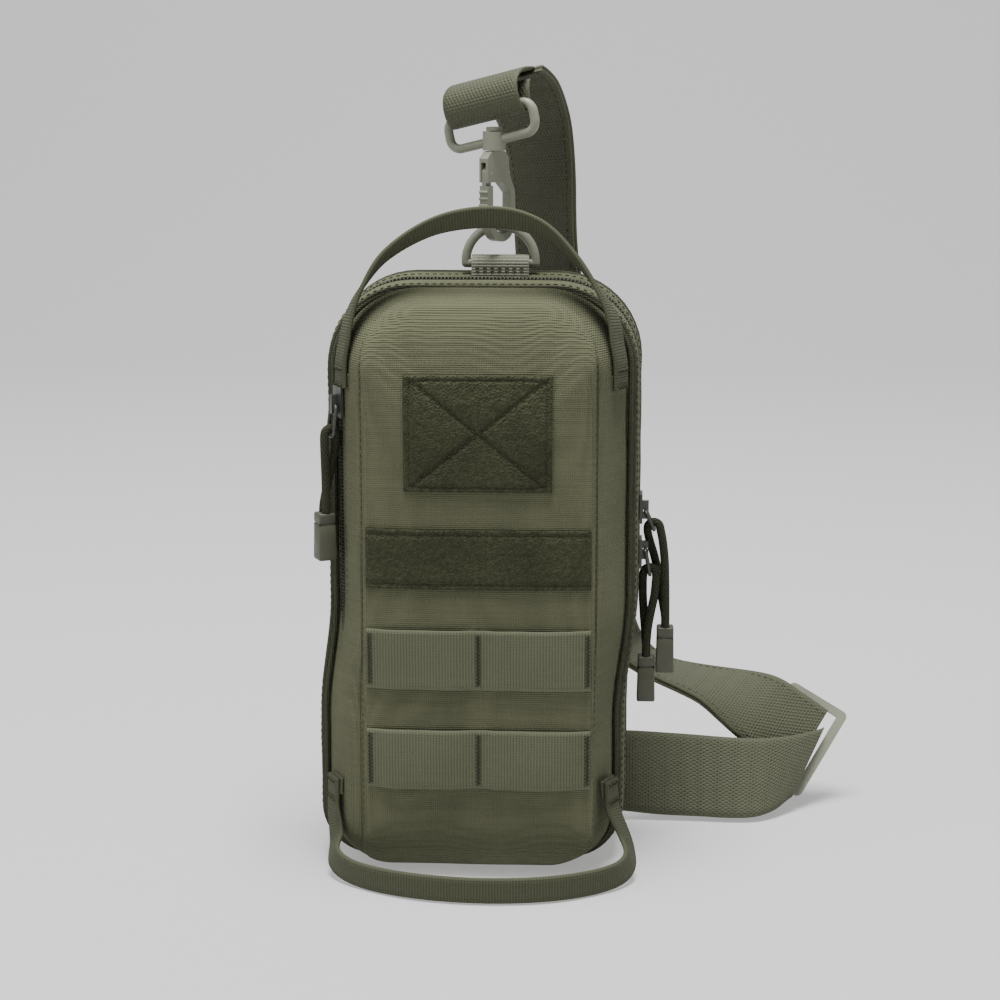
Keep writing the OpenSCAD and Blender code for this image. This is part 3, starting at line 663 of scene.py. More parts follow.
def cord_end_piece(name):
    """Moulded end: a block that flares to its foot, with a collar, rounded edges and a parting line."""
    place = on_pull(name)
    top = Vector(PULLS[name][5])
    bm = fresh()

    def ring(half_x, half_y, z):
        return [place(top + Vector((x, y, z))) for x, y in
                ((-half_x, -half_y), (0, -half_y), (half_x, -half_y), (half_x, 0),
                 (half_x, half_y), (0, half_y), (-half_x, half_y), (-half_x, 0))]
    loft(bm, [ring(3.0, 3.3, 0.25), ring(3.55, 3.75, 0.0), ring(3.7, 3.9, -0.5), ring(3.72, 3.95, -3.6),
              ring(3.4, 3.6, -3.9), ring(3.4, 3.6, -4.5), ring(3.74, 3.96, -4.8), ring(3.85, 4.05, -12.0),
              ring(4.0, 4.2, -18.4), ring(4.0, 4.2, -19.5), ring(3.7, 3.9, -20.0)])
    sharp = [e for e in bm.edges if abs((e.verts[0].co - e.verts[1].co).z) > 0.0002
             and len(e.link_faces) == 2 and e.calc_face_angle(0.0) > 1.0]
    bmesh.ops.bevel(bm, geom=sharp, affect="EDGES", offset=0.0007, segments=3, profile=0.5, material=-1)
    return publish(bm, name + "_moulded_end", moulded_rubber(), name + "_pull", [name + "_cord_end"])


def pull_cord_piece(name, end):
    """Braided cord looped through the pull ring, with both tails in its moulded end."""
    place = on_pull(name)
    points = curve_points([place(p) for p in PULLS[name][6]], 6)
    bm = fresh()
    diameter = sizes().cord_diameter
    tube(bm, points, diameter / MM / 2 * 0.985, sides=14, across=Vector((0.2, 1, 0.1)))
    cord = publish(bm, name + "_cord", braided_cord(), name + "_pull", [name + "_pull_cord"])
    return cord


# ---------- body ----------

# Rings of the front, from the piping to the middle of the panel:
# (half width, y at the sides, top, y at the top, bottom, y at the base, top corner, base corner)
FRONT_RINGS = [
    (62.6, -14.6, 252.2, -14.6, 0.9, -14.6, 34, 22), (61.2, -16.8, 251.9, -16.0, 0.9, -16.8, 34, 22),
    (59.3, -20.4, 251.3, -17.2, 0.9, -19.0, 33, 21), (57.2, -25.6, 250.9, -18.2, 1.0, -20.8, 32, 20),
    (54.9, -30.6, 250.5, -19.2, 1.1, -22.4, 30, 19), (52.4, -34.8, 250.1, -20.2, 1.2, -23.8, 28, 18),
    (50.7, -37.2, 249.8, -21.0, 1.3, -24.8, 27, 17), (49.5, -38.3, 249.5, -21.8, 1.5, -25.6, 26, 16),
    (48.3, -37.2, 249.2, -22.4, 1.7, -26.4, 25, 15.5), (48.9, -39.4, 248.9, -23.6, 1.9, -27.6, 25, 15.5),
    (48.9, -41.0, 248.2, -26.0, 2.4, -29.8, 24.5, 15), (47.7, -42.3, 246.6, -29.2, 3.8, -32.8, 24, 15),
    (45.4, -43.0, 243.6, -33.0, 6.2, -35.8, 23, 15), (42.0, -43.4, 238.6, -36.8, 10.0, -38.8, 22, 14),
    (37.6, -43.6, 231.2, -39.8, 15.6, -41.2, 20, 14), (32.0, -43.8, 221.0, -42.0, 24.0, -42.9, 18, 12),
    (25.0, -44.0, 207.0, -43.3, 37.0, -43.8, 14, 10), (17.0, -44.1, 188.0, -43.9, 56.0, -44.1, 10, 8),
    (8.0, -44.1, 164.0, -44.1, 88.0, -44.2, 6, 6), (2.0, -44.1, 140.0, -44.1, 118.0, -44.2, 1.5, 1.5),
]
SEAM_RING = 8


def front_ring(spec):
    hw, y_side, top, y_top, base, y_base, rt, rb = spec
    points = []
    for x, z, ox, oz in outline(hw, top, base, rt, rb, side_n=40, end_n=20, corner_n=10):
        up, down = max(oz, 0.0), max(-oz, 0.0)
        y = y_side + (y_top - y_side) * up ** 1.4 + (y_base - y_side) * down ** 1.4
        points.append(Vector((x, y, z)))
    return points


def front_wrinkle(p):
    """Slack folds: fine level ones under the top of the panel and long soft ones on the sides."""
    face = smoothstep((-p.y - 24) / 14)
    level = math.sin(p.z * 0.95 + 2.2 * noise.noise(Vector((p.x / 30, 0, p.z / 12)))) * 0.6
    level *= smoothstep((p.z - 206) / 20) * smoothstep((250 - p.z) / 10)
    soft = noise.noise(Vector((p.x / 26, p.y / 20, p.z / 34))) * 0.9
    low = noise.noise(Vector((p.x / 14 + 5, p.y / 16, p.z / 15))) * 0.8 * smoothstep((60 - p.z) / 30)
    q = Vector((p.x, p.y + (level + 1.5 * soft) * face, p.z))
    side = (1 - face) * (1 if p.x > 0 else -1)
    q.x += (soft + low) * 0.8 * side * smoothstep((abs(p.x) - 40) / 12)
    q.y += low * 0.5 * face * smoothstep((abs(p.x) - 30) / 12)
    return lean(q)


def front_seam_points():
    """Points along the two side seams and the corners of the front panel, in millimetres."""
    return [front_wrinkle(p) for p in front_ring(FRONT_RINGS[SEAM_RING + 1])]


PANEL = {}


def front_face(x, z):
    """Depth of the front panel at a place, in millimetres."""
    hit = PANEL["tree"].ray_cast(Vector((x, -120, z)) * MM, Vector((0, 1, 0)))[0]
    return hit.y / MM if hit else -43.0


def front_body():
    """Front pocket: side gussets that puff out, a seam groove, and a panel that rolls over at top and base."""
    bm = fresh()
    loft(bm, [[front_wrinkle(p) for p in front_ring(spec)] for spec in FRONT_RINGS])
    piece = publish(bm, "pocket_shell", shell_fabric(), None)
    copy = bmesh.new()
    copy.from_mesh(piece.data)
    PANEL["tree"] = BVHTree.FromBMesh(copy)
    copy.free()
    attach(piece, "front_half")
    modifier = piece.modifiers.new("Rounded", "SUBSURF")
    modifier.levels = modifier.render_levels = 1
    for node in ("pocket_gusset", "front_panel"):
        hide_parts(node)
    # the seams' thread, sewn along the narrow fold that stands beside each seam
    bm = fresh()
    ring = front_seam_points()
    side = [p + Vector((math.copysign(0.3, p.x), -1.1, 0)) for p in ring]
    out = [Vector((math.copysign(0.6, p.x), -0.8, 0)) for p in ring]
    for keep in (lambda p: p.x > 30, lambda p: p.x < -30):
        run = [(p, o) for p, o in zip(side, out) if keep(p) and 20 < p.z < 232]
        run.sort(key=lambda item: item[0].z)
        stitches(bm, [p for p, _ in run], [o for _, o in run], radius=0.2, lift=-0.05)
    publish(bm, "panel_seam_stitches", sewing_thread(), "front_half")


def piping(name, inset, y, radius, body, replaced=()):
    """Rounded binding carried round the body."""
    path = [lean(Vector((x, y, z))) for x, z, _, _ in body_outline(inset, side_n=44, end_n=24, corner_n=12)]
    path = [crumple(p, 0.35, 16, y) for p in path]
    bm = fresh()
    tube(bm, path, radius, sides=10, closed=True)
    piece = publish(bm, name, binding_tape(), body, replaced)
    return piece


def gussets():
    """The two gussets, slightly puffed between their seams, with their bindings and stitches."""
    counts = dict(side_n=40, end_n=20, corner_n=10)
    bm = fresh()
    swept_band(bm, [(6.5, -14.0), (4.8, -14.6), (3.2, -15.0), (2.2, -14.0), (1.1, -11.5), (0.4, -8.0),
                    (0.1, -4.5), (0.3, -1.8), (0.7, -0.7), (2.2, -0.6), (2.4, -6.0), (3.8, -12.6), (6.0, -13.2)],
               lambda p: crumple(lean(p), 0.7, 30), **counts)
    publish(bm, "front_side_band", shell_fabric(), "front_half", ["front_gusset"], levels=1)
    bm = fresh()
    swept_band(bm, [(0.8, 16.3), (0.2, 17.4), (-0.4, 20.0), (-0.7, 23.5), (-0.4, 27.0), (0.2, 29.4), (2.0, 29.8),
                    (2.4, 23.0), (2.3, 16.6)], lambda p: crumple(lean(p), 0.7, 30, 3.0), **counts)
    publish(bm, "rear_side_band", shell_fabric(), "rear_half", ["rear_gusset"], levels=1)
    piping("pocket_piping", 3.9, -15.4, 1.25, "front_half", ["pocket_binding"])
    piping("front_edge_piping", 2.4, -14.6, 1.05, "front_half")
    piping("rear_piping", 0.6, 31.0, 1.5, "rear_half", ["rear_binding"])
    for name, y, inset, body in (("front_band_stitches", -11.6, 1.15, "front_half"),
                                 ("front_zip_stitches", -2.6, 0.3, "front_half"),
                                 ("rear_zip_stitches", 18.6, -0.1, "rear_half"),
                                 ("rear_band_stitches", 28.0, 0.0, "rear_half")):
        bm = fresh()
        rows = body_outline(inset, side_n=60, end_n=30, corner_n=14)
        seed = 0.0 if body == "front_half" else 3.0
        path = [crumple(lean(Vector((x, y, z))), 0.7, 30, seed) for x, z, _, _ in rows]
        stitches(bm, path, [Vector((ox, 0, oz)) for _, _, ox, oz in rows], closed=True, radius=0.22, lift=0.1)
        publish(bm, name, sewing_thread(), body)
    # strip of fabric under the base that joins the halves
    bm = fresh()
    swept_band(bm, [(0.3, -1.2), (0.1, 2.0), (0.0, 8.0), (0.1, 14.0), (0.3, 17.0), (1.3, 17.0), (1.2, 8.0),
                    (1.3, -1.2)], **counts)
    cut_below(bm, 15.0, keep_above=False)
    piece = publish(bm, "base_fold", shell_fabric())
    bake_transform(piece)


def rounded_sheet(bm, y_at, hw, top, base, rt, rb, layers, shape=lean):
    """A closed pad of that outline: layers are (inset, y) from the middle of one face over the edge to the other."""
    rings = []
    for inset, y in layers:
        rings.append([shape(Vector((x, y + y_at, z))) for x, z, _, _ in
                      outline(max(hw - inset, 0.5), top - inset * (1 if inset < hw * 0.7 else 1.35),
                              base + inset * (1 if inset < hw * 0.7 else 1.35),
                              max(rt - inset, 1.0), max(rb - inset, 1.0), side_n=30, end_n=14, corner_n=8)])
    return loft(bm, rings)


def back_pad():
    """Padded back with its mesh face, sewn in three panels."""
    bm = fresh()
    rounded_sheet(bm, 30.0, 64.5, 251.5, 2.5, 33, 21,
                  [(58, 0.3), (30, 0.2), (6, 0.2), (1.2, 0.8), (0, 2.6), (0.4, 5.0), (2.2, 6.9), (6, 7.7), (9, 7.3),
                   (13, 6.2), (32, 6.0), (58, 6.0)], lambda p: crumple(lean(p), 0.8, 40, 9.0))
    pad = publish(bm, "back_pad", shell_fabric(), "rear_half", ["back_panel"], levels=1)
    bm = fresh()

    def channel(p):
        groove = sum(math.exp(-((p.x - x) / 2.2) ** 2) for x in (-21, 21))
        groove += sum(math.exp(-((p.z - z) / 2.2) ** 2) for z in (86, 168))
        puff = 1.1 * math.cos(p.x / 57 * 1.3) if p.y > 38.2 else 0
        return lean(Vector((p.x, p.y + puff - (1.5 * min(groove, 1.0) if p.y > 38.2 else 0), p.z)))
    bmesh.ops.create_grid(bm, x_segments=76, y_segments=150, size=1.0)
    for v in bm.verts:
        x, z = v.co.x * 56.5, 127 + v.co.y * 114.5
        corner = min(1.0, (56.5 - abs(x)) / 24), min(1.0, (114.5 - abs(z - 127)) / 24)
        if corner[0] < 1 and corner[1] < 1:
            u, w = 1 - corner[0], 1 - corner[1]
            far = math.hypot(u, w)
            if far > 0:
                pull = max(u, w) / far
                x = math.copysign(56.5 - 24 * (1 - u * pull), x)
                z = 127 + math.copysign(114.5 - 24 * (1 - w * pull), z - 127)
        v.co = channel(Vector((x, 38.6, z))) * MM
    rim = bm.faces[:]
    back = bmesh.ops.extrude_face_region(bm, geom=rim)["geom"]
    for v in [g for g in back if isinstance(g, bmesh.types.BMVert)]:
        v.co.y = 0.0376
    mesh = publish(bm, "back_mesh_face", mesh_fabric(), "rear_half", ["back_mesh"])
    bm = fresh()
    edge = outline(57, 242, 12, 24, 24, side_n=40, end_n=20, corner_n=10)
    path = [lean(Vector((x, 39.0, z))) for x, z, _, _ in edge]
    tube(bm, path, 1.3, sides=8, closed=True)
    publish(bm, "back_mesh_binding", binding_tape(), "rear_half")


def linings():
    """Lining of the back, the divider between compartment and pocket, and the slip pocket with its hem."""
    for name, y, node, body in (("back_lining_sheet", 28.2, "back_lining", "rear_half"),
                                ("divider_sheet", -13.6, "divider", "front_half")):
        bm = fresh()
        rounded_sheet(bm, y, 64.6, 251.6, 2.4, 34, 22,
                      [(60, 0.0), (30, 0.1), (8, 0.2), (0.8, 0.1), (0, 0.7), (0.8, 1.3), (8, 1.5), (30, 1.6),
                       (60, 1.6)],
                      lambda p: crumple(lean(p), 0.6, 34, p.y))
        publish(bm, name, lining_fabric(), body, [node], levels=1)
    bm = fresh()
    bmesh.ops.create_grid(bm, x_segments=40, y_segments=44, size=1.0)
    for v in bm.verts:
        x, z = v.co.x * 50, 69 + v.co.y * 55
        slack = 1.4 * math.cos(x / 50 * 1.5) * smoothstep((z - 20) / 60)
        v.co = lean(Vector((x, 27.6 - slack + 0.3 * noise.noise(Vector((x / 12, z / 12, 4))), z))) * MM
    bmesh.ops.solidify(bm, geom=bm.faces[:], thickness=0.0007)
    publish(bm, "slip_pocket", lining_fabric(), "rear_half", ["inner_pocket"])
    bm = fresh()
    hem = [lean(Vector((x, 27.2 - 1.4 * math.cos(x / 50 * 1.5), 124))) for x in range(-50, 51, 4)]
    ribbon(bm, [(p, Vector((0, 0, 1))) for p in hem], 9, 1.2, steps=2)
    publish(bm, "slip_pocket_hem", binding_tape(), "rear_half")


# ---------- zips ----------

def resample(points, step):
    """Evenly spaced (point, tangent) pairs along points in millimetres."""
    out, goal, run = [], 0.0, 0.0
    for a, b in zip(points, points[1:]):
        d = (b - a).length
        while d > 0 and goal <= run + d:
            out.append((a.lerp(b, (goal - run) / d), (b - a).normalized()))
            goal += step
        run += d
    return out


def zip_coil(bm, points, outward, pitch, wide, high):
    """Spiral coil: one turn for each pitch, flattened onto its tape."""
    path = []
    turns = resample(points, pitch / 8)
    for k, (p, t) in enumerate(turns):
        out = outward(p)
        side = t.cross(out).normalized()
        angle = 2 * math.pi * k / 8
        path.append(p + side * math.cos(angle) * wide / 2 + out * math.sin(angle) * high / 2)
    tube(bm, path, 0.24, sides=5, across=Vector((0.3, 1, 0.2)))


def open_loop(inset, y, shape=lean):
    """The outline of the body above the ends of the main zip, from low right over the top to low left."""
    rows = body_outline(inset, side_n=70, end_n=40, corner_n=20)
    keep = [(Vector((x, y, z)), Vector((ox, 0, oz))) for x, z, ox, oz in rows]
    first = next(i for i, (p, _) in enumerate(keep) if p.x > 0 and p.z > 16.2)
    last = max(i for i, (p, _) in enumerate(keep) if p.x < 0 and p.z > 16.2)
    return [(shape(p), o) for p, o in keep[first:last + 1]]


def main_zip():
    """Tapes and coils of the main zip, one of each on either half."""
    for name, tape_y, coil_y, body in (("front", (-0.4, 5.6), 6.3, "front_half"),
                                       ("rear", (10.0, 16.6), 9.3, "rear_half")):
        bm = fresh()
        swept_band(bm, [(0.9, tape_y[0]), (0.6, (tape_y[0] + tape_y[1]) / 2), (0.9, tape_y[1]), (1.7, tape_y[1]),
                        (1.6, tape_y[0])], side_n=40, end_n=20, corner_n=10)
        cut_below(bm, 16.0)
        publish(bm, name + "_tape", zip_tape(), body, [name + "_zip_tape"])
        bm = fresh()
        run = open_loop(1.0, coil_y)
        places = [p for p, _ in run]

        def outward(p):
            corner = Vector((max(abs(p.x) - 31, 0) * (1 if p.x > 0 else -1), 0,
                             max(p.z - 218, 0) - max(24 - p.z, 0)))
            return corner.normalized() if corner.length > 0.5 else Vector((1 if p.x > 0 else -1, 0, 0))
        zip_coil(bm, places, outward, sizes().coil_pitch / MM, 1.9, 1.7)
        publish(bm, name + "_coil", coil_plastic(), body, [name + "_zip_coil"], merge=False)


def pocket_zip():
    """Zip of the front pocket, in the left gusset, with its tape, coil and two rows of stitches."""
    def at(out, along, z):
        return POCKET_ZIP + OFF_POCKET * out + ALONG_POCKET * along + Vector((0, 0, z))
    bm = fresh()
    stops = [(at(1.35, 0.6, z), ALONG_POCKET) for z in range(44, 210, 15)]
    ribbon(bm, stops, 10.4, 0.8, steps=4)
    publish(bm, "pocket_tape", zip_tape(), "front_half", ["pocket_zip_tape"])
    bm = fresh()
    zip_coil(bm, [at(1.75, 0, z) for z in range(45, 209, 4)], lambda p: OFF_POCKET, 1.5, 3.6, 1.3)
    publish(bm, "pocket_coil", coil_plastic(), "front_half", ["pocket_zip_coil"], merge=False)
    bm = fresh()
    for along in (-3.6, 5.0):
        path = [at(1.9, along, z) for z in range(44, 210, 6)]
        stitches(bm, path, OFF_POCKET, radius=0.2)
    publish(bm, "pocket_zip_stitches", sewing_thread(), "front_half")


# ---------- trims on the front ----------

def laid_panel(bm, x0, x1, z0, z1, thick, nx, nz, relief, lift=0.3):
    """A rectangle that lies on the front panel and follows it; relief(x, z) adds height in millimetres."""
    layer = bm.verts.layers.float_vector.get("lay")
    bmesh.ops.create_grid(bm, x_segments=nx, y_segments=nz, size=1.0)
    for v in bm.verts:
        x = x0 + (x1 - x0) * (v.co.x + 1) / 2
        z = z0 + (z1 - z0) * (v.co.y + 1) / 2
        edge = min(x - x0, x1 - x, z - z0, z1 - z)
        round_off = -0.45 * (1 - min(edge / 0.8, 1.0)) ** 2
        y = front_face(x, z) - lift - thick - round_off - relief(x, z)
        v[layer] = Vector(((z - (z0 + z1) / 2) * MM, x * MM, abs(z - (z0 + z1) / 2) / ((z1 - z0) / 2)))
        v.co = Vector((x, y, z)) * MM
    front = bm.faces[:]
    sides = bmesh.ops.extrude_face_region(bm, geom=front)["geom"]
    for v in [g for g in sides if isinstance(g, bmesh.types.BMVert)]:
        v.co.y = (front_face(v.co.x / MM, v.co.z / MM) + 0.1) * MM


def sewn_row(bm, points, out=Vector((0, -1, 0)), lift=0.1, radius=0.22, pitch=None, away=0.0):
    path = [Vector((x, front_face(x, z) - away, z)) for x, z in points]
    dense = []
    for a, b in zip(path, path[1:]):
        count = max(1, int((b - a).length / 3))
        for k in range(count):
            t = k / count
            x, z = a.x + (b.x - a.x) * t, a.z + (b.z - a.z) * t
            dense.append(Vector((x, front_face(x, z) - away, z)))
    dense.append(path[-1])
    stitches(bm, dense, out, pitch, radius=radius, lift=lift)


def badge_panel():
    """Square of loop pile crossed by an X of sewn grooves, with a plain sewn border."""
    z = 194.0
    half_x, half_z = 30.8, 24.3

    def sunk(x, zz):
        u, w = x / half_x, (zz - z) / half_z
        across = min(abs(u - w), abs(u + w)) / 1.41 * 27.0
        edge = min(half_x - abs(x), half_z - abs(zz - z))
        inside = smoothstep((edge - 2.0) / 1.0)
        groove = -0.75 * math.exp(-(across / 0.9) ** 2) * inside
        frame_line = -0.55 * math.exp(-((edge - 2.3) / 0.55) ** 2)
        loft_up = 0.35 * inside * (1 - math.exp(-(across / 3.0) ** 2))
        return groove + frame_line + loft_up + 0.16 * noise.noise(Vector((x / 3.2, zz / 3.2, 1)))
    bm = fresh()
    laid_panel(bm, -half_x, half_x, z - half_z, z + half_z, 1.2, 124, 98, sunk)
    publish(bm, "badge_panel", loop_pile(), "front_half", ["patch_panel"])
    bm = fresh()
    for sign in (-1, 1):
        sewn_row(bm, [(-28.2, z - 21.9 * sign), (28.2, z + 21.9 * sign)], away=1.15, lift=0.0, radius=0.24)
    box = [(-29, z - 22.6), (29, z - 22.6), (29, z + 22.6), (-29, z + 22.6), (-29, z - 22.6)]
    sewn_row(bm, box, away=1.2, lift=0.0, radius=0.22)
    publish(bm, "badge_stitches", sewing_thread(), "front_half")


def name_strip():
    """Wide strip of loop pile across the front, sewn along the edges and down the middle."""
    z0, z1 = 128.2, 153.8

    def relief(x, z):
        edge = min(z - z0, z1 - z)
        middle = -0.35 * math.exp(-((x - 1.0) / 0.7) ** 2)
        border = -0.45 * math.exp(-((edge - 2.2) / 0.6) ** 2)
        pile = 0.18 * noise.noise(Vector((x / 3.4, z / 3.0, 6)))
        return middle + border + pile + 0.25 * smoothstep((edge - 2.6) / 2)
    bm = fresh()
    laid_panel(bm, -47.3, 47.3, z0, z1, 1.2, 190, 56, relief)
    publish(bm, "name_strip", loop_pile(), "front_half", ["loop_strip"])
    bm = fresh()
    for z in (z0 + 1.9, z1 - 1.9):
        sewn_row(bm, [(-46, z), (46, z)], away=1.2, lift=0.0)
    sewn_row(bm, [(1.0, z0 + 2.5), (1.0, z1 - 2.5)], away=1.2, lift=0.0)
    publish(bm, "name_strip_stitches", sewing_thread(), "front_half")


def loop_row(name, node, middle):
    """One row of load webbing: sewn down at both ends and in the middle, standing off between."""
    half = sizes().row_height / MM / 2
    bm = fresh()
    section = strip_section(2 * half, 1.3, 16)
    rings, lays = [], []
    for k in range(97):
        x = -47.4 + 94.8 * k / 96
        near = min(abs(x + 46), abs(x), abs(x - 46))
        stand = 1.15 * smoothstep((near - 2.2) / 6.0) * (0.85 + 0.15 * math.sin(x * 0.3))
        ring, lay = [], []
        for u, v, edge in section:
            z = middle + u
            sag = 0.25 * math.cos(u / half * 1.4) * smoothstep((near - 2.2) / 8.0)
            y = front_face(x, z) - 0.75 - stand - sag
            ring.append(Vector((x, y - v, z)))
            lay.append((u * MM, x * MM, edge))
        rings.append(ring)
        lays.append(lay)
    loft(bm, rings, lays)
    publish(bm, name, webbing("load_webbing", (0.128, 0.134, 0.086)), "front_half", [node])


def tacks():
    """Bars of close zigzag thread that hold the webbing rows."""
    bm = fresh()
    for middle in (98.0, 54.5):
        for x0 in (-46.0, 0.0, 46.0):
            path = []
            for k in range(29):
                z = middle - 11.2 + 22.4 * k / 28
                x = x0 + (0.95 if k % 2 else -0.95)
                path.append(Vector((x, front_face(x, z) - 1.65, z)))
            tube(bm, path, 0.3, sides=5, across=Vector((0.2, 1, 0.1)))
    publish(bm, "row_tacks", sewing_thread(), "front_half", ["bar_tacks"])


# ---------- handles, strap and tabs ----------

TOP_HANDLE = [
    ((-58.6, -26.6, 211), (.431, -.902, 0)), ((-58.6, -26.6, 217), (.431, -.902, 0)),
    ((-58.3, -26.6, 223), (.431, -.902, 0)),
    ((-57, -26.5, 230), (.42, -.905, 0)), ((-55, -25.5, 240), (.35, -.93, .1)),
    ((-50.5, -24, 251), (.2, -.95, .2)), ((-39.5, -22, 266), (0, -.9, .4)), ((-19, -20, 278), (0, -.7, .7)),
    ((5, -19, 281.5), (0, -.55, .83)), ((25, -20, 277), (0, -.7, .7)), ((40, -22, 264), (0, -.9, .4)),
    ((50.5, -24, 249.5), (-.2, -.95, .2)), ((55.5, -25.5, 239), (-.38, -.92, .1)),
    ((57, -26.5, 230), (-.42, -.905, 0)),
    ((58.3, -26.6, 223), (-.431, -.902, 0)), ((58.6, -26.6, 217), (-.431, -.902, 0)),
    ((58.6, -26.6, 211), (-.431, -.902, 0)),
]
BOTTOM_HANDLE = [
    ((-63.8, -27.8, 41), (.431, -.902, 0)), ((-63.9, -27.8, 34), (.431, -.902, 0)),
    ((-64.0, -28.2, 27), (.46, -.86, .1)),
    ((-62.5, -32, 15), (.5, -.6, .6)), ((-62, -42, 8.5), (.3, -.2, .93)),
    ((-51, -54, 6), (0, 0, 1)), ((-28, -66, 5.9), (0, 0, 1)), ((2, -71, 5.9), (0, 0, 1)), ((32, -67, 5.9), (0, 0, 1)),
    ((55, -54, 6), (0, 0, 1)), ((64, -42, 8.5), (-.3, -.2, .93)), ((63, -32, 15), (-.5, -.6, .6)),
    ((57.4, -28, 27), (-.46, -.86, .1)), ((56.4, -27.4, 34), (-.431, -.902, 0)),
    ((56.2, -27.4, 41), (-.431, -.902, 0)),
]


def consistent(stops):
    """Keeps the direction of the width from flipping between one stop and the next."""
    out = [(Vector(stops[0][0]), Vector(stops[0][1]).normalized())]
    for place, width in stops[1:]:
        w = Vector(width).normalized()
        if w.dot(out[-1][1]) < 0:
            w = -w
        out.append((Vector(place), w))
    return out


def handle(name, stops, node):
    """Webbing handle with its sewn ends, as one piece that bends where it leaves the gusset."""
    bm = fresh()
    s = sizes()
    route = consistent([(p, w) for p, w in stops])
    ribbon(bm, route, s.handle_width / MM, s.handle_layer / MM * 0.86, steps=10, across=6)
    for first, second in ((route[0], route[1]), (route[-1], route[-2])):
        a, w = first
        b, _ = second
        along = (b - a).normalized()
        out = w.cross(along).normalized()
        if out.x * a.x < 0:
            out = -out
        for k in (0.12, 0.88):
            mid = a + (b - a) * k * 1.5
            path = [mid + w * (j / 14 - 0.5) * 8.6 + along * (0.8 if j % 2 else -0.8) + out * 1.35 for j in range(15)]
            tube(bm, path, 0.28, sides=5, across=Vector((0.3, 0.2, 1)))
    piece = publish(bm, name, webbing("handle_webbing"), None, [node])
    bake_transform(piece)
    return piece


def handle_tabs():
    """Folded ends of the handles, sewn down on the side gussets."""
    bm = fresh()
    for stops in (TOP_HANDLE, BOTTOM_HANDLE):
        for a, b in ((stops[0], stops[1]), (stops[-1], stops[-2])):
            p, w = Vector(a[0]), Vector(a[1]).normalized()
            q = Vector(b[0])
            n = (w.cross((q - p).normalized())).normalized()
            if n.x * p.x < 0:
                n = -n
            stops_under = [(p - n * 1.9 - (q - p) * 0.08, w), (p.lerp(q, 0.5) - n * 1.8, w), (q - n * 1.7, w)]
            ribbon(bm, stops_under, 11.6, 1.3, steps=4)
    publish(bm, "handle_feet", webbing("foot_webbing"), "front_half", ["handle_ends"])


def ring_axes():
    """Hub of the swivel, and the directions back, up and across of its ring."""
    across = Vector((0.86, -0.46, 0.22)).normalized()
    up = across.cross(Vector((0, 0, 1)).cross(across)).normalized()
    return Vector((3.4, 17.5, 311.5)), up.cross(across), up, across


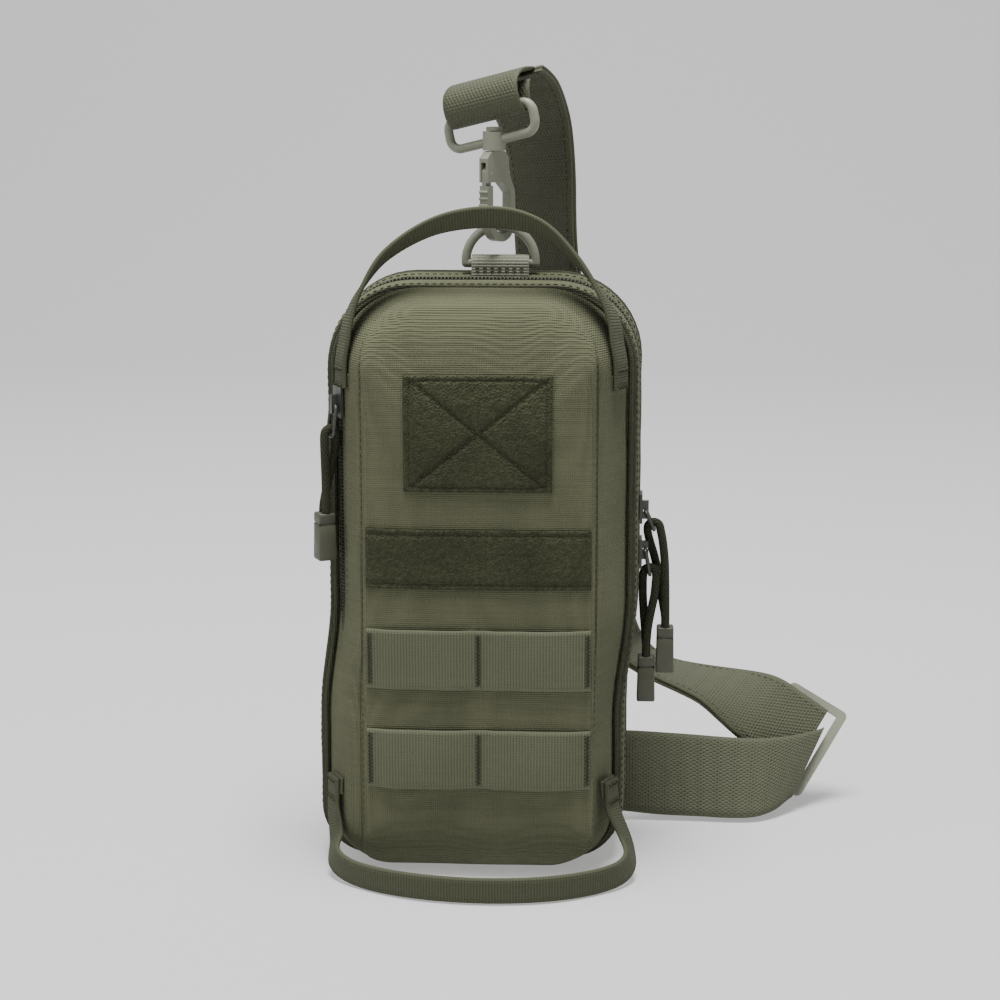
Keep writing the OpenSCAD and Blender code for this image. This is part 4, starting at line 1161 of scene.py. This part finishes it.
def shoulder_strap():
    """Strap: sewn end, one layer on its edge, doubled after the adjuster, up the back and round the ring."""
    s = sizes()
    w, t = s.strap_width / MM, s.strap_layer / MM
    bm = fresh()
    lower = [((24, 42, 24), (0, 0, 1)), ((36, 42, 24), (0, 0, 1)), ((48, 42, 24), (0, 0, 1)),
             ((64, 43.8, 22.5), (0, .1, 1)),
             ((80, 47, 20.5), (0, .3, .95)), ((96, 49, 19.2), (0, .45, .9)), ((111, 49, 18.4), (.05, .5, .86)),
             ((124, 51, 18), (.1, .55, .82)), ((136, 57, 18.5), (.25, .55, .78)),
             ((145.5, 63.5, 20.5), (.4, .5, .75)),
             ((148, 65.3, 21.3), (.42, .5, .75))]
    ribbon(bm, consistent(lower), w, t, steps=8, across=10)
    upper = [((148.4, 70.9, 28.6), (.51, .44, .74)), ((143.6, 71.7, 31.9), (.51, .45, .73)),
             ((135.2, 73.1, 37.8), (.5, .5, .7)), ((124.2, 75, 45.4), (.49, .62, .58)),
             ((104, 78, 54.5), (.38, .9, .17)),
             ((80, 78, 62), (.28, .96, -.03)), ((63, 74, 74), (.45, .87, -.1)), ((51, 66, 92), (.75, .6, -.15)),
             ((44, 59, 116), (.95, .25, -.12)), ((40, 56, 146), (1, 0, 0)), ((35, 56, 186), (.96, -.28, 0)),
             ((29, 56, 225), (.84, -.54, 0)), ((24.5, 56, 262), (.73, -.68, 0)), ((23, 55, 292), (.75, -.65, .06)),
             ((20, 49, 316), (.8, -.56, .14)), ((14, 38.5, 332), (.85, -.48, .2)), ((8, 29.5, 338), (.86, -.46, .22))]
    route = consistent(upper)
    centres = curve_points([r[0] for r in route], 8)
    widths = curve_points([r[1] for r in route], 8)
    lines = tangents(centres)
    for sign in (1, -1):
        pairs = []
        for c, d, line in list(zip(centres, widths, lines))[::4]:
            out = line.cross(d).normalized()
            pairs.append((c + out * sign * (t / 2 + 0.06), d))
        pairs.append((centres[-1] + lines[-1].cross(widths[-1]).normalized() * sign * (t / 2 + 0.06), widths[-1]))
        ribbon(bm, pairs, w - (0.5 if sign < 0 else 0.0), t, steps=3, across=10)
    hub, back, up, across = ring_axes()
    bar = hub + up * 13
    fold = []
    for b, u in ((12.7, 14.4), (3.6, 14), (-3.1, 10.3), (-5.2, 4.6), (-4.2, -.8), (-2.4, -2.9), (0, -3.7),
                 (2.5, -2.9), (3.9, 0), (4.8, 5.2), (7.2, 9.4)):
        fold.append((bar + back * b + up * u, across))
    ribbon(bm, fold, w, t, steps=6, across=10, start=0.0)
    strap = publish(bm, "shoulder_strap", strap_webbing(), "rear_half",
                    ["strap_lower", "strap_upper", "strap_hook_fold"])
    # two rows of thread along the doubled part
    bm = fresh()
    for side in (-1, 1):
        rows = []
        for c, d, line in zip(centres, widths, lines):
            out = line.cross(d).normalized()
            rows.append((c, d.normalized(), out))
        for face in (-1, 1):
            path = [c + d * side * (w / 2 - 3.2) + out * face * (t + 0.05) for c, d, out in rows]
            stitches(bm, path, [out * face for _, _, out in rows], radius=0.24, lift=0.02)
    publish(bm, "strap_stitches", sewing_thread(), "rear_half")
    return strap


def anchor_tab():
    """Tab of webbing at the lower corner that the strap is sewn into, with its box of stitches."""
    bm = fresh()
    layer = bm.verts.layers.float_vector.get("lay")
    corners = [(22, 5), (50, 5), (50, 43), (22, 43), (14, 24)]
    y0, y1 = 39.5, 41.1
    face = bmesh.ops.contextual_create(bm, geom=[bm.verts.new(Vector((x, y1, z)) * MM) for x, z in corners])["faces"]
    bmesh.ops.triangulate(bm, faces=face)
    bmesh.ops.subdivide_edges(bm, edges=bm.edges[:], cuts=5, use_grid_fill=True)
    top = bm.faces[:]
    made = bmesh.ops.extrude_face_region(bm, geom=top)["geom"]
    for v in [g for g in made if isinstance(g, bmesh.types.BMVert)]:
        v.co.y = y0 * MM
    for v in bm.verts:
        v[layer] = Vector((v.co.z - 0.024, v.co.x, 0.5))
    publish(bm, "anchor_tab", webbing("anchor_webbing"), "rear_half", ["strap_anchor"])
    bm = fresh()
    box = [(25, 8), (47, 8), (47, 40), (25, 40), (25, 8), (47, 40), (47, 8), (25, 40)]
    path = [Vector((x, 42.95, z)) for x, z in box]
    for a, b in zip(path, path[1:]):
        stitches(bm, [a, b], Vector((0, 1, 0)), radius=0.24, lift=0.0)
    publish(bm, "anchor_stitches", sewing_thread(), "rear_half")


def ring_tab():
    """Loop of webbing at the top of the body that holds the D-ring, with its stitches."""
    bm = fresh()
    stops, r = [], 3.05
    for y, z in ((-r, -8), (-r, -5), (-r, -2), (-r, 0)):
        stops.append((6, 20 + y, 259 + z))
    for k in range(1, 8):
        turn = math.pi - math.pi * k / 8
        stops.append((6, 20 + r * math.cos(turn), 259 + r * math.sin(turn)))
    for y, z in ((r, 0), (r, -2), (r, -5), (r, -8)):
        stops.append((6, 20 + y, 259 + z))
    ribbon(bm, [(Vector(p), Vector((1, 0, 0))) for p in stops], 25, 1.35, steps=3, across=10)
    # The tab's colour is a much lighter copy of the webbing colour: painted light that brightens a tab which sits in
    # shade.
    publish(bm, "ring_tab", webbing("tab_webbing_painted_light", (0.300, 0.312, 0.235)), "rear_half", ["d_ring_tab"])
    bm = fresh()
    for z in (255.6, 257.0):
        for y, out in ((16.2, Vector((0, -1, 0))), (23.8, Vector((0, 1, 0)))):
            stitches(bm, [Vector((-5.5, y, z)), Vector((17.5, y, z))], out, radius=0.22, lift=0.0)
    publish(bm, "ring_tab_stitches", sewing_thread(), "rear_half")


def metal_parts():
    """Materials of the parts that keep their exact shape."""
    paint, pull, steel = painted_metal(), pull_metal(), spring_steel()
    for node in ("d_ring", "swivel_ring", "hook_body", "hook_gate", "strap_slider"):
        finishes(node, paint)
    for node in ("gate_pin", "gate_spring"):
        finishes(node, steel)
    for name in ("pocket", "upper", "lower"):
        finishes(name + "_slider", pull)
        finishes(name + "_pull_ring", pull)


# ---------- stage ----------

def aim(piece, target):
    direction = Vector(target) - piece.location
    piece.rotation_euler = direction.to_track_quat("-Z", "Y").to_euler()


def camera_and_floor():
    """Camera in front of the bag, a plain pale floor that curves up behind it, and plain soft light."""
    scene = bpy.context.scene
    lens = bpy.data.cameras.new("camera")
    lens.lens, lens.sensor_width = 82.94, 36.0
    camera = bpy.data.objects.new("camera", lens)
    camera.location = (0.0594, -0.9803, 0.3488)
    aim(camera, (0.0068, 0.0, 0.158))
    scene.collection.objects.link(camera)
    scene.camera = camera

    bm = bmesh.new()
    profile = [(-3.0, -0.0003), (1.6, -0.0003)]
    profile += [(1.6 + 0.8 * math.sin(math.radians(a)), 0.8 - 0.8 * math.cos(math.radians(a)) - 0.0003)
                for a in range(6, 91, 6)]
    profile.append((2.4, 3.0))
    row = [bm.verts.new((-4.0, y, z)) for y, z in profile]
    edges = [bm.edges.new(pair) for pair in zip(row, row[1:])]
    made = bmesh.ops.extrude_edge_only(bm, edges=edges)["geom"]
    for v in [g for g in made if isinstance(g, bmesh.types.BMVert)]:
        v.co.x = 4.0
    bmesh.ops.recalc_face_normals(bm, faces=bm.faces)
    bm.faces.ensure_lookup_table()
    if bm.faces[0].normal.z < 0:
        bmesh.ops.reverse_faces(bm, faces=bm.faces)
    mesh = bpy.data.meshes.new("floor")
    bm.to_mesh(mesh)
    bm.free()
    for polygon in mesh.polygons:
        polygon.use_smooth = True
    material = bpy.data.materials.new("floor")
    material.use_nodes = True
    shader = material.node_tree.nodes["Principled BSDF"]
    shader.inputs["Base Color"].default_value = (*colours().floor, 1.0)
    shader.inputs["Roughness"].default_value = 0.9
    shader.inputs["Specular IOR Level"].default_value = 0.1
    shader.inputs["Emission Color"].default_value = (1.0, 1.0, 1.0, 1.0)
    shader.inputs["Emission Strength"].default_value = 0.34
    mesh.materials.append(material)
    floor = bpy.data.objects.new("floor", mesh)
    scene.collection.objects.link(floor)

    for name, power, size, place in (("key", 13.0, 1.2, (-1.6, -1.0, 1.5)), ("fill", 3.0, 1.4, (1.7, -1.2, 0.9)),
                                     ("top", 94.0, 1.0, (0.0, -0.22, 2.2))):
        data = bpy.data.lights.new(name, "AREA")
        data.energy, data.size = power, size
        lamp = bpy.data.objects.new(name, data)
        lamp.location = place
        aim(lamp, (0.0, 0.0, 0.15))
        scene.collection.objects.link(lamp)
    world = bpy.data.worlds.new("soft_room")
    world.use_nodes = True
    world.node_tree.nodes["Background"].inputs["Color"].default_value = (1.0, 1.0, 1.0, 1.0)
    world.node_tree.nodes["Background"].inputs["Strength"].default_value = 0.25
    scene.world = world


# ---------- operators and panel ----------

class SLINGBAG_OT_stage(bpy.types.Operator):
    """Add the camera, the floor and the lights"""
    bl_idname = "sling_bag.stage"
    bl_label = "Stage"

    def execute(self, context):
        camera_and_floor()
        return {"FINISHED"}


class SLINGBAG_OT_cords(bpy.types.Operator):
    """Make the three pull cords and their moulded ends"""
    bl_idname = "sling_bag.cords"
    bl_label = "Pull cords"

    def execute(self, context):
        for name in PULLS:
            pull_cord_piece(name, cord_end_piece(name))
        return {"FINISHED"}


class SLINGBAG_OT_front(bpy.types.Operator):
    """Make the front pocket with its panel and seams"""
    bl_idname = "sling_bag.front"
    bl_label = "Front pocket"

    def execute(self, context):
        front_body()
        return {"FINISHED"}


class SLINGBAG_OT_gussets(bpy.types.Operator):
    """Make the side bands of both halves, their piping and the fold under the base"""
    bl_idname = "sling_bag.gussets"
    bl_label = "Side bands"

    def execute(self, context):
        gussets()
        return {"FINISHED"}


class SLINGBAG_OT_back(bpy.types.Operator):
    """Make the padded back and its mesh face"""
    bl_idname = "sling_bag.back"
    bl_label = "Padded back"

    def execute(self, context):
        back_pad()
        return {"FINISHED"}


class SLINGBAG_OT_linings(bpy.types.Operator):
    """Make the lining, the divider and the slip pocket"""
    bl_idname = "sling_bag.linings"
    bl_label = "Linings"

    def execute(self, context):
        linings()
        return {"FINISHED"}


class SLINGBAG_OT_zips(bpy.types.Operator):
    """Make the tapes and coils of both zips"""
    bl_idname = "sling_bag.zips"
    bl_label = "Zips"

    def execute(self, context):
        main_zip()
        pocket_zip()
        return {"FINISHED"}


class SLINGBAG_OT_trims(bpy.types.Operator):
    """Make the loop pile pieces and the webbing rows on the front"""
    bl_idname = "sling_bag.trims"
    bl_label = "Front trims"

    def execute(self, context):
        if "tree" not in PANEL:
            raise RuntimeError("the front pocket has to be made before its trims")
        badge_panel()
        name_strip()
        loop_row("load_row_upper", "molle_upper", 98.0)
        loop_row("load_row_lower", "molle_lower", 54.5)
        tacks()
        return {"FINISHED"}


class SLINGBAG_OT_handles(bpy.types.Operator):
    """Make the two webbing handles and their sewn feet"""
    bl_idname = "sling_bag.handles"
    bl_label = "Handles"

    def execute(self, context):
        handle("top_grab_handle", TOP_HANDLE, "top_handle")
        handle("base_grab_handle", BOTTOM_HANDLE, "bottom_handle")
        handle_tabs()
        return {"FINISHED"}


class SLINGBAG_OT_strap(bpy.types.Operator):
    """Make the shoulder strap, its sewn tab and the D-ring's tab"""
    bl_idname = "sling_bag.strap"
    bl_label = "Shoulder strap"

    def execute(self, context):
        shoulder_strap()
        anchor_tab()
        ring_tab()
        return {"FINISHED"}


class SLINGBAG_OT_metal(bpy.types.Operator):
    """Give the metal parts their paint and plating"""
    bl_idname = "sling_bag.metal"
    bl_label = "Metal parts"

    def execute(self, context):
        metal_parts()
        return {"FINISHED"}


OPERATORS = (SLINGBAG_OT_stage, SLINGBAG_OT_cords, SLINGBAG_OT_front, SLINGBAG_OT_gussets, SLINGBAG_OT_back,
             SLINGBAG_OT_linings, SLINGBAG_OT_zips, SLINGBAG_OT_trims, SLINGBAG_OT_handles, SLINGBAG_OT_strap,
             SLINGBAG_OT_metal)


class SLINGBAG_PT_panel(bpy.types.Panel):
    bl_idname = "SLINGBAG_PT_panel"
    bl_label = "Sling bag"
    bl_space_type = "VIEW_3D"
    bl_region_type = "UI"
    bl_category = "Sling bag"

    def draw(self, context):
        for operator in OPERATORS:
            self.layout.operator(operator.bl_idname)
        for group in (context.scene.sling_bag_sizes, context.scene.sling_bag_colours):
            column = self.layout.column()
            for name in group.__annotations__:
                column.prop(group, name)


CLASSES = (SlingBagSizes, SlingBagColours, *OPERATORS, SLINGBAG_PT_panel)


def register():
    for cls in CLASSES:
        bpy.utils.register_class(cls)
    bpy.types.Scene.sling_bag_sizes = PointerProperty(type=SlingBagSizes)
    bpy.types.Scene.sling_bag_colours = PointerProperty(type=SlingBagColours)


def unregister():
    del bpy.types.Scene.sling_bag_colours
    del bpy.types.Scene.sling_bag_sizes
    for cls in reversed(CLASSES):
        bpy.utils.unregister_class(cls)


def main():
    register()
    bpy.ops.sling_bag.stage()
    bpy.ops.sling_bag.cords()
    bpy.ops.sling_bag.front()
    bpy.ops.sling_bag.gussets()
    bpy.ops.sling_bag.back()
    bpy.ops.sling_bag.linings()
    bpy.ops.sling_bag.zips()
    bpy.ops.sling_bag.trims()
    bpy.ops.sling_bag.handles()
    bpy.ops.sling_bag.strap()
    bpy.ops.sling_bag.metal()


if __name__ == "__main__":
    main()
